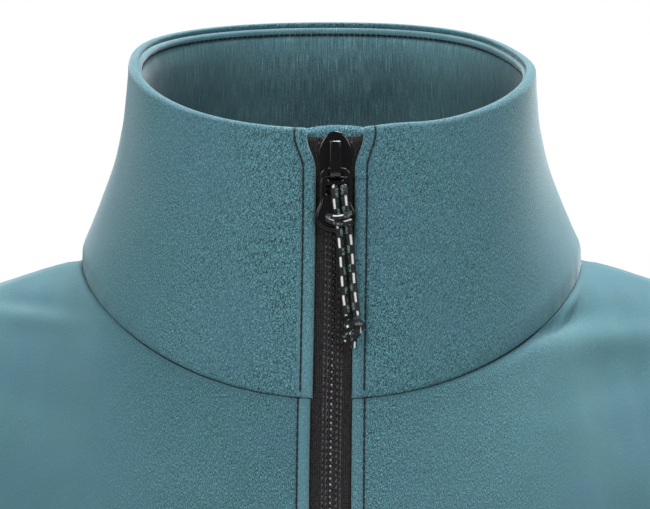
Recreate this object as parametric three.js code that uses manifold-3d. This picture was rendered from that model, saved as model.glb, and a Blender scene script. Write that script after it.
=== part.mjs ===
// High-collar fleece jacket with a centre-front zip, filled out as if worn.
// Millimetres, +Z up. The origin is the centre of the neck at the height of the shoulder seams'
// inner ends. The front faces -Y, and +X is the wearer's left.
import * as THREE from 'three';
import Module from 'manifold-3d';
import { mergeVertices } from 'three/addons/utils/BufferGeometryUtils.js';

const wasm = await Module();
wasm.setup();

const { clamp, degToRad, lerp, smoothstep } = THREE.MathUtils;

// ---- Driving sizes ----
const CLOTH = 2.0; // one layer of bonded fleece
const SEAM_GAP = 0.3; // space between neighbouring pieces
const NECK = {
  halfWidth: 87.5, front: 78, back: 70, frontDrop: 39.6, backRise: 5, dropPower: 1.4, square: 2.1,
};
const RIM = {
  halfWidth: 72.3, front: 65, back: 65, side: 72.3, tilt: 14.9, dip: 6.2, soften: 0.25, square: 2.2,
};
const RIM_LEFT_DROP = 1.4; // the rim sits a little lower on the wearer's left side
const ZIP_DRIFT = { top: 1.25, low: -0.5, topZ: 45, lowZ: -90, fadeZ: -260, reach: 42 }; // off the middle
const RIM_ROLL = 3.0; // height of the rolled top edge
const RIM_STEPS = 5; // of its arc
const RIM_LIP = 0.4; // how far the roll reaches past its own underside
const COLLAR_BASE_GAP = 1.7 * SEAM_GAP; // wider, as the body's facets are coarser than the collar's
const TAPE_TOP = 0.95; // shares of the collar's height at which the strips behind the zip end
const GUARD_TOP = 1;
const ZIP_GAP = { half: 6.8, topFlare: 3.0, flareFrom: 0.84 }; // between the fronts' edges
const SHOULDER = { tip: new THREE.Vector3(222, 0, 0), slope: 17.5, droop: 6 };
const CHEST_Z = -225;
const BODY_SQUARE = 2.4; // exponent of the body's rounded sections

// End tangents of the curves from the chest to the top edge, for the left half's front.
const LEAVE_CHEST = new THREE.Vector3(0, 0, 190);
const LEAVE_UNDERARM = new THREE.Vector3(-80, -225, 165);
const ARRIVE_BESIDE_ARM = new THREE.Vector3(80, 30, 0); // added to the rest near the armhole
const TOP_PULL = { neck: 150, shoulder: 120, tip: 225 }; // lengths of the tangents at the top
const NECK_LEAN = { front: 24, back: 34 }; // degrees in from upright at the neck seam
const SHOULDER_TURN_IN = 0.25; // sideways share of the cloth's way over the shoulder
const ARM_FROM = 0.6; // share of a quarter turn from which the armhole shapes the columns

// Body sections from the hem up: half width, and how far the front and back reach.
const BODY_SECTIONS = [
  { name: 'hem', z: -690, halfWidth: 183, front: 130, back: 122 },
  { name: 'hip', z: -600, halfWidth: 185, front: 133, back: 126 },
  { name: 'waist', z: -450, halfWidth: 174, front: 130, back: 110 },
  { name: 'ribs', z: -320, halfWidth: 180, front: 139, back: 124 },
  { name: 'chest', z: CHEST_Z, halfWidth: 185, front: 143, back: 136 },
];

// Collar profile: how much of the neck seam's extra width is left at each share of the height.
const COLLAR_PROFILE = [
  { up: 0, flare: 1 },
  { up: 0.1, flare: 0.93 },
  { up: 0.2, flare: 0.74 },
  { up: 0.3, flare: 0.54 },
  { up: 0.45, flare: 0.29 },
  { up: 0.6, flare: 0.12 },
  { up: 0.75, flare: 0.01 },
  { up: 1, flare: 0 },
];

// Sleeve sections from the upper arm to the cuff: centre, half width and half depth.
const SLEEVE_SECTIONS = [
  { name: 'upperArm', along: 0, x: 249, y: -1, z: -252, halfWide: 57, halfDeep: 69 },
  { name: 'aboveElbow', along: 0.25, x: 264, y: 4, z: -350, halfWide: 55, halfDeep: 64 },
  { name: 'elbow', along: 0.5, x: 280, y: 4, z: -450, halfWide: 52, halfDeep: 60 },
  { name: 'forearm', along: 0.75, x: 297, y: -12, z: -556, halfWide: 47, halfDeep: 53 },
  { name: 'cuff', along: 1, x: 314, y: -36, z: -660, halfWide: 41, halfDeep: 46 },
];

// Largest folds of the body: centre at a turn (0 centre front, 180 centre back) and a height,
// half sizes across and along, depth (minus is a trough), and lean of its length from upright.
const SIDE_PER_DEGREE = 1.9; // way round the body for a degree of turn, for its folds
const BODY_FOLDS = [
  { turn: 48, z: -52, across: 16, along: 62, depth: 2.6, lean: 68 },
  { turn: -50, z: -46, across: 15, along: 55, depth: 1.6, lean: -72 },
  { turn: 72, z: -190, across: 18, along: 60, depth: -6, lean: 38 },
  { turn: -70, z: -196, across: 18, along: 66, depth: -6.5, lean: -34 },
  { turn: 112, z: -200, across: 18, along: 62, depth: -6, lean: -32 },
  { turn: -115, z: -192, across: 18, along: 58, depth: -5.5, lean: 36 },
  { turn: 58, z: -478, across: 22, along: 74, depth: -4, lean: 52 },
  { turn: -62, z: -430, across: 22, along: 66, depth: -4.5, lean: -56 },
  { turn: 132, z: -425, across: 24, along: 78, depth: -4.5, lean: -50 },
  { turn: -126, z: -470, across: 24, along: 70, depth: -4, lean: 54 },
];

// Largest folds of a sleeve: centre at a turn (0 outer side, 90 front) and a share of the length.
const SLEEVE_LENGTH = 410;
const SLEEVE_FOLDS = [
  { turn: 95, along: 0.4, across: 15, length: 46, depth: -6 },
  { turn: 75, along: 0.52, across: 15, length: 52, depth: -6.5 },
  { turn: 110, along: 0.64, across: 15, length: 44, depth: -5 },
  { turn: 265, along: 0.47, across: 18, length: 48, depth: 4 },
  { turn: 40, along: 0.86, across: 14, length: 50, depth: -4 },
  { turn: 230, along: 0.8, across: 15, length: 46, depth: -4.5 },
  { turn: 150, along: 0.14, across: 16, length: 44, depth: -5 },
];

// Grid sizes of the cloth pieces.
const NECK_COLUMNS = 6; // to a quarter turn, on the neck seam and then on the shoulder
const SHOULDER_COLUMNS = 7;
const LOWER_ROWS = 11;
const UPPER_ROWS = 9;
const COLLAR_COLUMNS = 42;
const COLLAR_ROWS = 8;
const CAP_ROWS = 5;
const SLEEVE_ROWS = 15;

// Lengths and direction of the sleeve cap's tangents, at the underarm and at the shoulder.
const CAP_LEAVE = { under: 18, top: 110, foreAft: -0.3, rise: -0.25 };
const CAP_ARRIVE = { under: 32, top: 150 };
const CAP_GAP = { under: 2.8, top: 1.4 }; // in seam gaps, as the facets of the two sides differ

// Zip, with depths measured inward from the cloth's outer face.
const TAPE = { inner: 3.2, outer: 14.9, front: 2.3, back: 3.3 };
const CHAIN = { half: 2.9, front: 2.2, back: 3.4 };
const GUARD = { half: 20, front: 5.2, back: 6.9 };
const PLATE = {
  frontOuter: 0.7, frontInner: 1.9, backInner: 3.7, backOuter: 4.7, overlap: 0.2, corner: 0.6,
};
const SLIDER = {
  half: 5.75, bottomHalf: 4.65, top: 13.6, bottom: -3.9, shoulder: 3.4,
  wedgeHalf: 2.6, wedgeTip: 0.8, wedgeTop: 13, wedgeBottom: 6.5,
};
const AXIS = { height: 37, out: 1.4 }; // pull's hinge line: height, and how far it is out
const BRIDGE = {
  half: 1.9, nose: 3.1, top: 12.2, foot: 13.4, thick: 1.2, lift: 0.52, play: 0.4, sunk: 0.3, footLength: 3,
};
const PULL = { thick: 1.8, stem: 5.1, end: 6.9, endDrop: 5.0, bar: 0.9, slotHalf: 2.35, slotEnd: 3.6 };
const PULL_DOWN = { stem: 9.5, endCentre: 15.8, hole: 4.9, holeEnd: 8.3, holeHalf: 3.1 };
const BOX = { half: 5.2, height: 12, coreHalf: 2.7, inset: 0.4, rise: 1 };
const CHAIN_GAP = { box: 1.4, wedge: 0.4 }; // from the chain's ends to the box and the wedge

// Pull cord, from the hinge line: places to the side, out from the cloth and down the zip.
const CORD = { diameter: 2.8, sides: 8, steps: 18 };
const CORD_ROUTE = [
  { side: -0.3, out: 4.15, down: 6.6 },
  { side: -0.1, out: 4.3, down: 10 },
  { side: 0.5, out: 4.35, down: 15 },
  { side: 1.2, out: 4.3, down: 20 },
  { side: 1.8, out: 3.5, down: 25.5 },
  { side: 2.2, out: 3.0, down: 31 },
  { side: 2.6, out: 2.9, down: 37 },
  { side: 3.1, out: 3.1, down: 43 },
  { side: 4.0, out: 3.7, down: 49.6 },
];
const STRAND_STEP = 3.15; // from one strand to the other
const KNOT = { side: 6.3, out: 4.1, down: 53.6, radius: 3.5 };
const HITCH = { side: 2.2, out: 4.3, down: 16.4, radius: 4.75, rise: 3.15, tube: 1.35 };
const TAILS = [
  { side: 3.5, down: 59.5 },
  { side: 6.4, down: 61.0 },
];

// ---- Curves and tables ----
function hermite(t, a, slopeA, b, slopeB) {
  const rest = 1 - t;
  const ends = a * (1 + 2 * t) * rest * rest + b * (3 - 2 * t) * t * t;
  return ends + slopeA * t * rest * rest - slopeB * rest * t * t;
}

function hermitePoint(t, start, leave, end, arrive) {
  return new THREE.Vector3(
    hermite(t, start.x, leave.x, end.x, arrive.x),
    hermite(t, start.y, leave.y, end.y, arrive.y),
    hermite(t, start.z, leave.z, end.z, arrive.z),
  );
}

// Every number of a table at a place between its rows, on a smooth curve through them.
function readTable(table, column, at) {
  let i = 0;
  while (i < table.length - 2 && at > table[i + 1][column]) i += 1;
  const a = table[i];
  const b = table[i + 1];
  const before = table[i - 1] ?? a;
  const after = table[i + 2] ?? b;
  const span = b[column] - a[column];
  const t = clamp((at - a[column]) / span, 0, 1);
  const row = {};
  for (const key of Object.keys(a).filter((name) => typeof a[name] === 'number')) {
    const slopeA = (b[key] - before[key]) / (b[column] - before[column]);
    const slopeB = (after[key] - a[key]) / (after[column] - a[column]);
    row[key] = hermite(t, a[key], slopeA * span, b[key], slopeB * span);
  }
  return row;
}

// The same turn between -180 and 180.
function halfTurns(turn) {
  return turn > 180 ? turn - 360 : turn;
}

// A point of a rounded section: turn 0 is centre front, 90 the side, 180 centre back.
function sectionPoint(turn, halfWidth, front, back, square) {
  const sin = Math.sin(degToRad(turn));
  const cos = Math.cos(degToRad(turn));
  const reach = cos > 0 ? front : back;
  return new THREE.Vector2(
    halfWidth * Math.sign(sin) * Math.abs(sin) ** (2 / square),
    -reach * Math.sign(cos) * Math.abs(cos) ** (2 / square),
  );
}

function bell(distance) {
  return Math.exp(-2 * distance * distance);
}

// ---- Neck seam, collar and body surfaces ----
function neckPoint(turn) {
  const cos = Math.cos(degToRad(turn));
  const flat = sectionPoint(turn, NECK.halfWidth, NECK.front, NECK.back, NECK.square);
  const rise = cos > 0 ? -NECK.frontDrop : NECK.backRise;
  return new THREE.Vector3(flat.x, flat.y, rise * Math.abs(cos) ** NECK.dropPower);
}

function rimPoint(turn) {
  const cos = Math.cos(degToRad(turn));
  const soft = (value) => Math.hypot(value, RIM.soften) - RIM.soften;
  const flat = sectionPoint(turn, RIM.halfWidth, RIM.front, RIM.back, RIM.square);
  const drop = RIM_LEFT_DROP * Math.max(0, Math.sin(degToRad(turn))) ** 2;
  const z = RIM.side - RIM.tilt * cos - (RIM.dip * soft(cos)) / soft(1) - drop;
  return new THREE.Vector3(flat.x, flat.y, z);
}

// Outer face of the collar. up runs from 0 at the neck seam to 1 at the rim.
function collarPoint(turn, up) {
  const base = neckPoint(turn);
  const rim = rimPoint(turn);
  const frontness = smoothstep(Math.cos(degToRad(turn)), 0.2, 0.95);
  const flare = lerp(readTable(COLLAR_PROFILE, 'up', up).flare, 1 - up, frontness);
  return new THREE.Vector3(
    lerp(rim.x, base.x, flare),
    lerp(rim.y, base.y, flare),
    lerp(base.z, rim.z, up),
  );
}

function shoulderPoint(share, side) {
  const inner = neckPoint(90).x;
  const x = lerp(inner, SHOULDER.tip.x, share);
  const z = -(x - inner) * Math.tan(degToRad(SHOULDER.slope)) - SHOULDER.droop * share * share;
  return new THREE.Vector3(side * x, 0, z);
}

const NECK_SHARE = 0.45; // share of a quarter turn whose columns end on the neck seam

// Which half and which side of the body a turn is on, and its share of that quarter.
function quarterOf(turn) {
  const side = Math.sign(turn) || 1;
  const fore = Math.abs(turn) <= 90 ? 1 : -1;
  return { side, fore, share: (fore > 0 ? Math.abs(turn) : 180 - Math.abs(turn)) / 90 };
}

// Top end of the column at a turn, and the tangent with which the cloth arrives there.
function topEnd(turn) {
  const { side, fore, share } = quarterOf(turn);
  if (share < NECK_SHARE) {
    const along = share / NECK_SHARE;
    const neckTurn = fore > 0 ? along * 90 : 180 - along * 90;
    const lean = degToRad(fore > 0 ? NECK_LEAN.front : NECK_LEAN.back);
    const inward = new THREE.Vector3(0, fore * Math.sin(lean), Math.cos(lean));
    const over = new THREE.Vector3(-SHOULDER_TURN_IN * side, fore, 0);
    const arrive = inward.lerp(over, along ** 1.6).setLength(lerp(TOP_PULL.neck, TOP_PULL.shoulder, along));
    return { point: neckPoint(side * neckTurn), arrive };
  }
  const along = (share - NECK_SHARE) / (1 - NECK_SHARE);
  const arrive = new THREE.Vector3(-SHOULDER_TURN_IN * side * (1 - along), fore, 0);
  arrive.setLength(lerp(TOP_PULL.shoulder, TOP_PULL.tip, along));
  return { point: shoulderPoint(along, side), arrive };
}

// How far the folds push a point of the body out.
function bodyFold(turn, z) {
  let push = 0;
  for (const fold of BODY_FOLDS) {
    const reach = SIDE_PER_DEGREE * (turn - fold.turn);
    const lean = degToRad(fold.lean);
    const rise = z - fold.z;
    const across = (reach * Math.cos(lean) - rise * Math.sin(lean)) / fold.across;
    const along = (reach * Math.sin(lean) + rise * Math.cos(lean)) / fold.along;
    push += fold.depth * bell(across) * bell(along);
  }
  return push;
}

// Outer face of the body. up runs from 0 at the hem through 1 at the chest to 2 at the top edge.
function bodyPoint(turn, up) {
  const lowest = BODY_SECTIONS[0].z;
  const section = readTable(BODY_SECTIONS, 'z', lerp(lowest, CHEST_Z, Math.min(up, 1)));
  const flat = sectionPoint(turn, section.halfWidth, section.front, section.back, BODY_SQUARE);
  const point = new THREE.Vector3(flat.x, flat.y, section.z);
  if (up > 1) {
    const { side, fore, share } = quarterOf(turn);
    const here = new THREE.Vector3(side, fore, 1);
    const arm = smoothstep(share, ARM_FROM, 1);
    const top = topEnd(turn);
    const leave = LEAVE_CHEST.clone().lerp(LEAVE_UNDERARM.clone().multiply(here), arm);
    const arrive = top.arrive.add(ARRIVE_BESIDE_ARM.clone().multiply(here).multiplyScalar(arm));
    point.copy(hermitePoint(up - 1, point, leave, top.point, arrive));
  }
  return point.addScaledVector(foldDirection(point), foldShare(turn, up) * bodyFold(turn, point.z));
}

// Folds push outward, and on the shoulders also upward.
function foldDirection({ x, y, z }) {
  return new THREE.Vector3(x * 0.6, y, Math.max(0, z + 160) * 0.5).normalize();
}

// The folds fade out at the hem, at the top edge and beside the armhole.
function foldShare(turn, up) {
  const besideArm = smoothstep(Math.abs(Math.abs(turn) - 90), 1, 14);
  const atArm = lerp(1, besideArm, smoothstep(up, 0.8, 1));
  return smoothstep(2 - up, 0, 0.12) * smoothstep(up, 0, 0.08) * atArm;
}

// Outward normal of a surface, kept on its own side of the armhole and of its top edge.
function surfaceNormal(surface, turn, up, highest) {
  const step = 0.4;
  const rise = 0.002;
  const quarter = up > 1 ? Math.floor((Math.abs(turn) + 1e-9) / 90.0005) : 0;
  const low = up > 1 ? Math.sign(turn) * 90.0005 * quarter : -Infinity;
  const high = up > 1 ? Math.sign(turn) * 90 * (quarter + 1) : Infinity;
  const bounds = low < high ? [low, high] : [high, low];
  const keep = (value) => (up > 1 ? clamp(value, ...bounds) : value);
  const atUnderarm = Math.abs(Math.abs(turn) - 90) < 0.01 && up <= 1;
  const above = Math.min(up + rise, atUnderarm ? 1 : highest);
  const below = Math.max(up - rise, 0);
  const round = surface(keep(turn + step), up).sub(surface(keep(turn - step), up));
  const along = surface(turn, above).sub(surface(turn, below));
  return round.cross(along).normalize();
}

// Points and normals of a surface over rows of turns, one row for each height.
function surfaceGrid(surface, ups, turnsAt, highest) {
  const turns = ups.map(turnsAt);
  return {
    grid: ups.map((up, i) => turns[i].map((turn) => surface(turn, up))),
    normals: ups.map((up, i) => turns[i].map((turn) => surfaceNormal(surface, turn, up, highest))),
  };
}

// Turn at which a surface reaches a given side distance, on the same side as that distance.
function turnAt(surface, side, up) {
  let low = 0;
  let high = 80;
  for (let i = 0; i < 30; i += 1) {
    const middle = (low + high) / 2;
    if (surface(middle, up).x < Math.abs(side)) low = middle;
    else high = middle;
  }
  return (Math.sign(side) * (low + high)) / 2;
}

// Half of the gap between the two front edges, which opens out at the collar's top.
function zipGapAt(collarUp) {
  return ZIP_GAP.half + ZIP_GAP.topFlare * smoothstep(collarUp, ZIP_GAP.flareFrom, 1);
}

// How far the worn zip lies off the middle at a height.
function zipDrift(z) {
  const upper = lerp(ZIP_DRIFT.low, ZIP_DRIFT.top, smoothstep(z, ZIP_DRIFT.lowZ, ZIP_DRIFT.topZ));
  return upper * smoothstep(z, ZIP_DRIFT.fadeZ, ZIP_DRIFT.lowZ);
}

// Moves a piece's points sideways with the zip, less and less away from it.
function drifted(geometry) {
  const points = geometry.getAttribute('position');
  for (let i = 0; i < points.count; i += 1) {
    const front = points.getY(i) < 0 ? 1 : 0;
    const shift = zipDrift(points.getZ(i)) * bell(points.getX(i) / ZIP_DRIFT.reach) * front;
    points.setX(i, points.getX(i) + shift);
  }
  return geometry;
}

// ---- Cloth walls ----
// A grid is a list of rows of points.
function gridNormals(grid, closed, inside) {
  const rows = grid.length;
  const columns = grid[0].length;
  const column = (j) => (closed ? (j + columns) % columns : clamp(j, 0, columns - 1));
  const at = (i, j) => grid[clamp(i, 0, rows - 1)][column(j)];
  const normals = grid.map((row, i) => row.map((_, j) => {
    const up = at(i + 1, j).clone().sub(at(i - 1, j));
    const round = at(i, j + 1).clone().sub(at(i, j - 1));
    return round.cross(up).normalize();
  }));
  const i = Math.floor(rows / 2);
  const j = Math.floor(columns / 2);
  const outward = grid[i][j].clone().sub(inside).dot(normals[i][j]) > 0;
  if (!outward) normals.flat().forEach((normal) => normal.negate());
  return normals;
}

// The same grid at a depth under its outer face.
function sunkGrid(grid, normals, depth) {
  return grid.map((row, i) => row.map((point, j) => point.clone().addScaledVector(normals[i][j], -depth)));
}

function geometryFrom(positions, triangles) {
  const geometry = new THREE.BufferGeometry();
  geometry.setAttribute('position', new THREE.Float32BufferAttribute(positions, 3));
  geometry.setIndex(triangles);
  return geometry;
}

// A closed solid between an outer and an inner grid of the same size.
function wallBetween(outer, inner, closed = false) {
  const rows = outer.length;
  const columns = outer[0].length;
  const spans = closed ? columns : columns - 1;
  const positions = [...outer.flat(), ...inner.flat()].flatMap((point) => point.toArray());
  const id = (layer, i, j) => (layer * rows + i) * columns + (j % columns);
  const triangles = [];
  const quad = (a, b, c, d) => triangles.push(a, b, c, a, c, d);
  for (let j = 0; j < spans; j += 1) {
    for (let i = 0; i < rows - 1; i += 1) {
      quad(id(0, i, j), id(0, i, j + 1), id(0, i + 1, j + 1), id(0, i + 1, j));
      quad(id(1, i, j), id(1, i + 1, j), id(1, i + 1, j + 1), id(1, i, j + 1));
    }
    quad(id(0, 0, j), id(1, 0, j), id(1, 0, j + 1), id(0, 0, j + 1));
    quad(id(0, rows - 1, j), id(0, rows - 1, j + 1), id(1, rows - 1, j + 1), id(1, rows - 1, j));
  }
  for (let i = 0; !closed && i < rows - 1; i += 1) {
    const j = columns - 1;
    quad(id(0, i, 0), id(0, i + 1, 0), id(1, i + 1, 0), id(1, i, 0));
    quad(id(0, i, j), id(1, i, j), id(1, i + 1, j), id(0, i + 1, j));
  }
  const geometry = geometryFrom(positions, triangles);
  return signedVolume(geometry) < 0 ? geometryFrom(positions, triangles.toReversed()) : geometry;
}

function signedVolume(geometry) {
  const points = geometry.getAttribute('position');
  const corner = (k) => new THREE.Vector3().fromBufferAttribute(points, geometry.index.getX(k));
  let volume = 0;
  for (let k = 0; k < geometry.index.count; k += 3) {
    volume += corner(k).dot(corner(k + 1).cross(corner(k + 2))) / 6;
  }
  return volume;
}

// Moves the first or last row or column of a grid towards its neighbour, to open a seam gap.
function trimRow(grid, last, gap = SEAM_GAP) {
  const edge = grid[last ? grid.length - 1 : 0];
  const next = grid[last ? grid.length - 2 : 1];
  edge.forEach((point, j) => point.addScaledVector(next[j].clone().sub(point).normalize(), gap));
}

function trimColumn(grid, last, gap = SEAM_GAP) {
  for (const row of grid) {
    const point = row[last ? row.length - 1 : 0];
    const next = row[last ? row.length - 2 : 1];
    point.addScaledVector(next.clone().sub(point).normalize(), gap);
  }
}

const EDGE_COLUMNS = [ZIP_GAP.half, TAPE.outer + SEAM_GAP, 27]; // side distances beside the zip
const INSIDE_BODY = new THREE.Vector3(0, 0, -250);
const BODY_UPS = [
  ...Array.from({ length: LOWER_ROWS }, (_, i) => i / LOWER_ROWS),
  ...Array.from({ length: UPPER_ROWS + 1 }, (_, i) => 1 + i / UPPER_ROWS),
];

const NECK_TURN = 90 * NECK_SHARE; // turn whose column ends at the shoulder seam's inner end

// Steps from one value to another, both ends included.
function steps(from, to, count) {
  return Array.from({ length: count + 1 }, (_, k) => lerp(from, to, k / count));
}

// Turns of a front panel's columns: close together beside the zip, then even.
function frontTurns(up) {
  const beside = EDGE_COLUMNS.map((side) => turnAt(bodyPoint, side, up));
  return [
    ...beside.slice(0, -1),
    ...steps(beside.at(-1), NECK_TURN, NECK_COLUMNS - 2),
    ...steps(NECK_TURN, 90, SHOULDER_COLUMNS).slice(1),
  ];
}

function backTurns() {
  const half = [
    ...steps(90.001, 180 - NECK_TURN, SHOULDER_COLUMNS),
    ...steps(180 - NECK_TURN, 180, NECK_COLUMNS).slice(1),
  ];
  return [...half, ...half.slice(0, -1).toReversed().map((turn) => -turn)];
}

function frontPanel(side) {
  const { grid, normals } = surfaceGrid(
    bodyPoint,
    BODY_UPS,
    (up) => frontTurns(up).map((turn) => side * turn),
    2,
  );
  squareShoulder(grid, normals);
  trimColumn(grid, true, SEAM_GAP / 2);
  trimRow(grid, true);
  return wallBetween(grid, sunkGrid(grid, normals, CLOTH));
}

function backPanel() {
  const { grid, normals } = surfaceGrid(bodyPoint, BODY_UPS, backTurns, 2);
  squareShoulder(grid, normals);
  trimColumn(grid, false, SEAM_GAP / 2);
  trimColumn(grid, true, SEAM_GAP / 2);
  return wallBetween(grid, sunkGrid(grid, normals, CLOTH));
}

// ---- Sleeves ----
// Points of the armhole round a turn: 0 the shoulder tip, 90 the front, 180 the underarm.
function armholePlace(turn) {
  const fore = turn <= 180;
  return { bodyTurn: fore ? 90 : 90.001, up: 1 + (fore ? 1 - turn / 180 : turn / 180 - 1) };
}

function armholePoint(turn) {
  const { bodyTurn, up } = armholePlace(turn);
  return bodyPoint(bodyTurn, up);
}

// Direction across the armhole's seam, from the body panel to the sleeve.
function awayFromPanel(turn) {
  const { bodyTurn, up } = armholePlace(turn);
  const inPanel = bodyPoint(bodyTurn + (bodyTurn > 90 ? 6 : -6), up);
  const away = armholePoint(turn).sub(inPanel).normalize();
  return away.lerp(new THREE.Vector3(0, 0, 1), smoothstep(2 - up, 0.75, 1)).normalize();
}

function armholeNormal(turn) {
  const { bodyTurn, up } = armholePlace(turn);
  return surfaceNormal(bodyPoint, bodyTurn, up, 2);
}

function sleeveRing(along, turn) {
  const section = readTable(SLEEVE_SECTIONS, 'along', along);
  const ahead = readTable(SLEEVE_SECTIONS, 'along', Math.min(along + 0.02, 1));
  const behind = readTable(SLEEVE_SECTIONS, 'along', Math.max(along - 0.02, 0));
  const centre = new THREE.Vector3(section.x, section.y, section.z);
  const axis = new THREE.Vector3(ahead.x - behind.x, ahead.y - behind.y, ahead.z - behind.z).normalize();
  const front = new THREE.Vector3(0, -1, 0).addScaledVector(axis, axis.y).normalize();
  const outer = front.clone().cross(axis).normalize();
  if (outer.x < 0) outer.negate();
  const cos = Math.cos(degToRad(turn));
  const sin = Math.sin(degToRad(turn));
  let push = 0;
  for (const fold of SLEEVE_FOLDS) {
    const round = ((turn - fold.turn + 540) % 360) - 180;
    const across = ((along - fold.along) * SLEEVE_LENGTH) / fold.across;
    push += fold.depth * bell(across) * bell(round / fold.length);
  }
  push *= smoothstep(along, 0, 0.1) * smoothstep(1 - along, 0, 0.06);
  const point = centre.clone()
    .addScaledVector(outer, (section.halfWide + push) * cos)
    .addScaledVector(front, (section.halfDeep + push) * sin);
  return { point, axis };
}

function sleeveTurns() {
  return steps(0, 360, 2 * UPPER_ROWS).slice(0, -1);
}

function sleeveGrid() {
  const turns = sleeveTurns();
  const grid = [];
  for (let i = 0; i < CAP_ROWS; i += 1) {
    const t = i / CAP_ROWS;
    grid.push(turns.map((turn) => {
      const start = armholePoint(turn);
      const { point: end, axis } = sleeveRing(0, turn);
      const top = (1 + Math.cos(degToRad(turn))) / 2;
      const foreAft = Math.sin(degToRad(turn));
      const leave = new THREE.Vector3(1, CAP_LEAVE.foreAft * foreAft, CAP_LEAVE.rise);
      leave.setLength(lerp(CAP_LEAVE.under, CAP_LEAVE.top, top));
      const arrive = axis.clone().multiplyScalar(lerp(CAP_ARRIVE.under, CAP_ARRIVE.top, top));
      start.addScaledVector(awayFromPanel(turn), SEAM_GAP * lerp(CAP_GAP.under, CAP_GAP.top, top));
      return hermitePoint(t, start, leave, end, arrive);
    }));
  }
  for (let i = 0; i <= SLEEVE_ROWS; i += 1) {
    grid.push(turns.map((turn) => sleeveRing(i / SLEEVE_ROWS, turn).point));
  }
  return grid;
}

function sleeve(side) {
  const grid = sleeveGrid();
  const middle = readTable(SLEEVE_SECTIONS, 'along', 0.45);
  const normals = gridNormals(grid, true, new THREE.Vector3(middle.x, middle.y, middle.z));
  const inner = sunkGrid(grid, normals, CLOTH);
  sleeveTurns().forEach((turn, j) => {
    inner[0][j].copy(grid[0][j]).addScaledVector(armholeNormal(turn), -CLOTH);
  });
  const mirror = (rows) => rows.map((row) => row.map((point) => point.clone().setX(side * point.x)));
  return wallBetween(mirror(grid), mirror(inner), true);
}

// ---- Collar ----
// Squares the walls' cut ends along the shoulder seam, so that front and back meet face to face.
function squareShoulder(grid, normals) {
  grid.at(-1).forEach((point, j) => {
    if (Math.abs(point.x) >= NECK.halfWidth - 1) normals.at(-1)[j].setY(0).normalize();
  });
}

// Turns round the collar from one front edge, past the back, to the other.
function collarTurns(up, edges) {
  const beside = edges.map((edge) => turnAt(collarPoint, edge, up));
  const last = beside.at(-1);
  const turns = [
    ...beside.slice(0, -1),
    ...steps(last, 360 - last, COLLAR_COLUMNS),
    ...beside.slice(0, -1).toReversed().map((turn) => 360 - turn),
  ];
  return turns.map(halfTurns);
}

function collar() {
  const { grid, normals } = surfaceGrid(
    collarPoint,
    steps(0, 1, COLLAR_ROWS),
    (up) => collarTurns(up, [zipGapAt(up), ...EDGE_COLUMNS.slice(1)]),
    1,
  );
  trimRow(grid, false, COLLAR_BASE_GAP);
  const inner = sunkGrid(grid, normals, CLOTH);
  const last = grid.length - 1;
  const thickness = 2 * CLOTH + SEAM_GAP;
  // The top edge rolls over the facing: the wall's last row, then an arc to the inner side.
  const top = grid[last].map((point) => point.clone());
  const row = (depth, rise) => top.map((point, j) => (
    point.clone().addScaledVector(normals[last][j], -depth).setZ(point.z + rise)));
  grid[last] = row(0, -thickness / 2);
  inner[last] = row(CLOTH, -RIM_ROLL);
  for (let k = 1; k <= RIM_STEPS; k += 1) {
    const angle = (Math.PI * k) / RIM_STEPS;
    grid.push(row((thickness / 2) * (1 - Math.cos(angle)), (thickness / 2) * (Math.sin(angle) - 1)));
    inner.push(row(lerp(CLOTH, thickness - RIM_LIP, k / RIM_STEPS), -RIM_ROLL));
  }
  return wallBetween(grid, inner);
}

function collarFacing() {
  const { grid, normals } = surfaceGrid(
    collarPoint,
    steps(0, 1, COLLAR_ROWS),
    (up) => collarTurns(up, EDGE_COLUMNS.slice(1)),
    1,
  );
  grid[COLLAR_ROWS].forEach((point) => { point.z -= RIM_ROLL + SEAM_GAP; });
  const front = CLOTH + SEAM_GAP;
  return wallBetween(sunkGrid(grid, normals, front), sunkGrid(grid, normals, front + CLOTH));
}

// ---- Zip ----
// Rows of the centre front from the hem to the collar's top, at a side distance.
function zipRows(side, highest) {
  const body = BODY_UPS.map((up) => bodyPoint(turnAt(bodyPoint, side, up), up));
  const stand = steps(0, highest, COLLAR_ROWS).slice(1).map((up) => (
    collarPoint(turnAt(collarPoint, side, up), up)));
  return [...body, ...stand];
}

// A strip behind the fronts over a list of side distances, between a front and a back depth.
function zipStrip(sides, { front, back }, highest) {
  const lines = sides.map((side) => zipRows(side, highest));
  const grid = lines[0].map((_, i) => lines.map((line) => line[i]));
  const normals = gridNormals(grid, false, INSIDE_BODY);
  return wallBetween(sunkGrid(grid, normals, front), sunkGrid(grid, normals, back));
}

const TAPE_SIDES = [TAPE.inner, ZIP_GAP.half, TAPE.outer];
const GUARD_SIDES = [-GUARD.half, -TAPE.outer, -TAPE.inner, TAPE.inner, TAPE.outer, GUARD.half];
const COLLAR_FRONT = collarPoint(0, 1).sub(collarPoint(0, 0));
const COLLAR_LEAN = Math.atan2(COLLAR_FRONT.y, COLLAR_FRONT.z);
const AXIS_UP = (AXIS.height - neckPoint(0).z) / COLLAR_FRONT.z;
const HINGE = collarPoint(0, AXIS_UP).add(new THREE.Vector3(
  0,
  -AXIS.out * Math.cos(COLLAR_LEAN),
  AXIS.out * Math.sin(COLLAR_LEAN),
));

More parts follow.
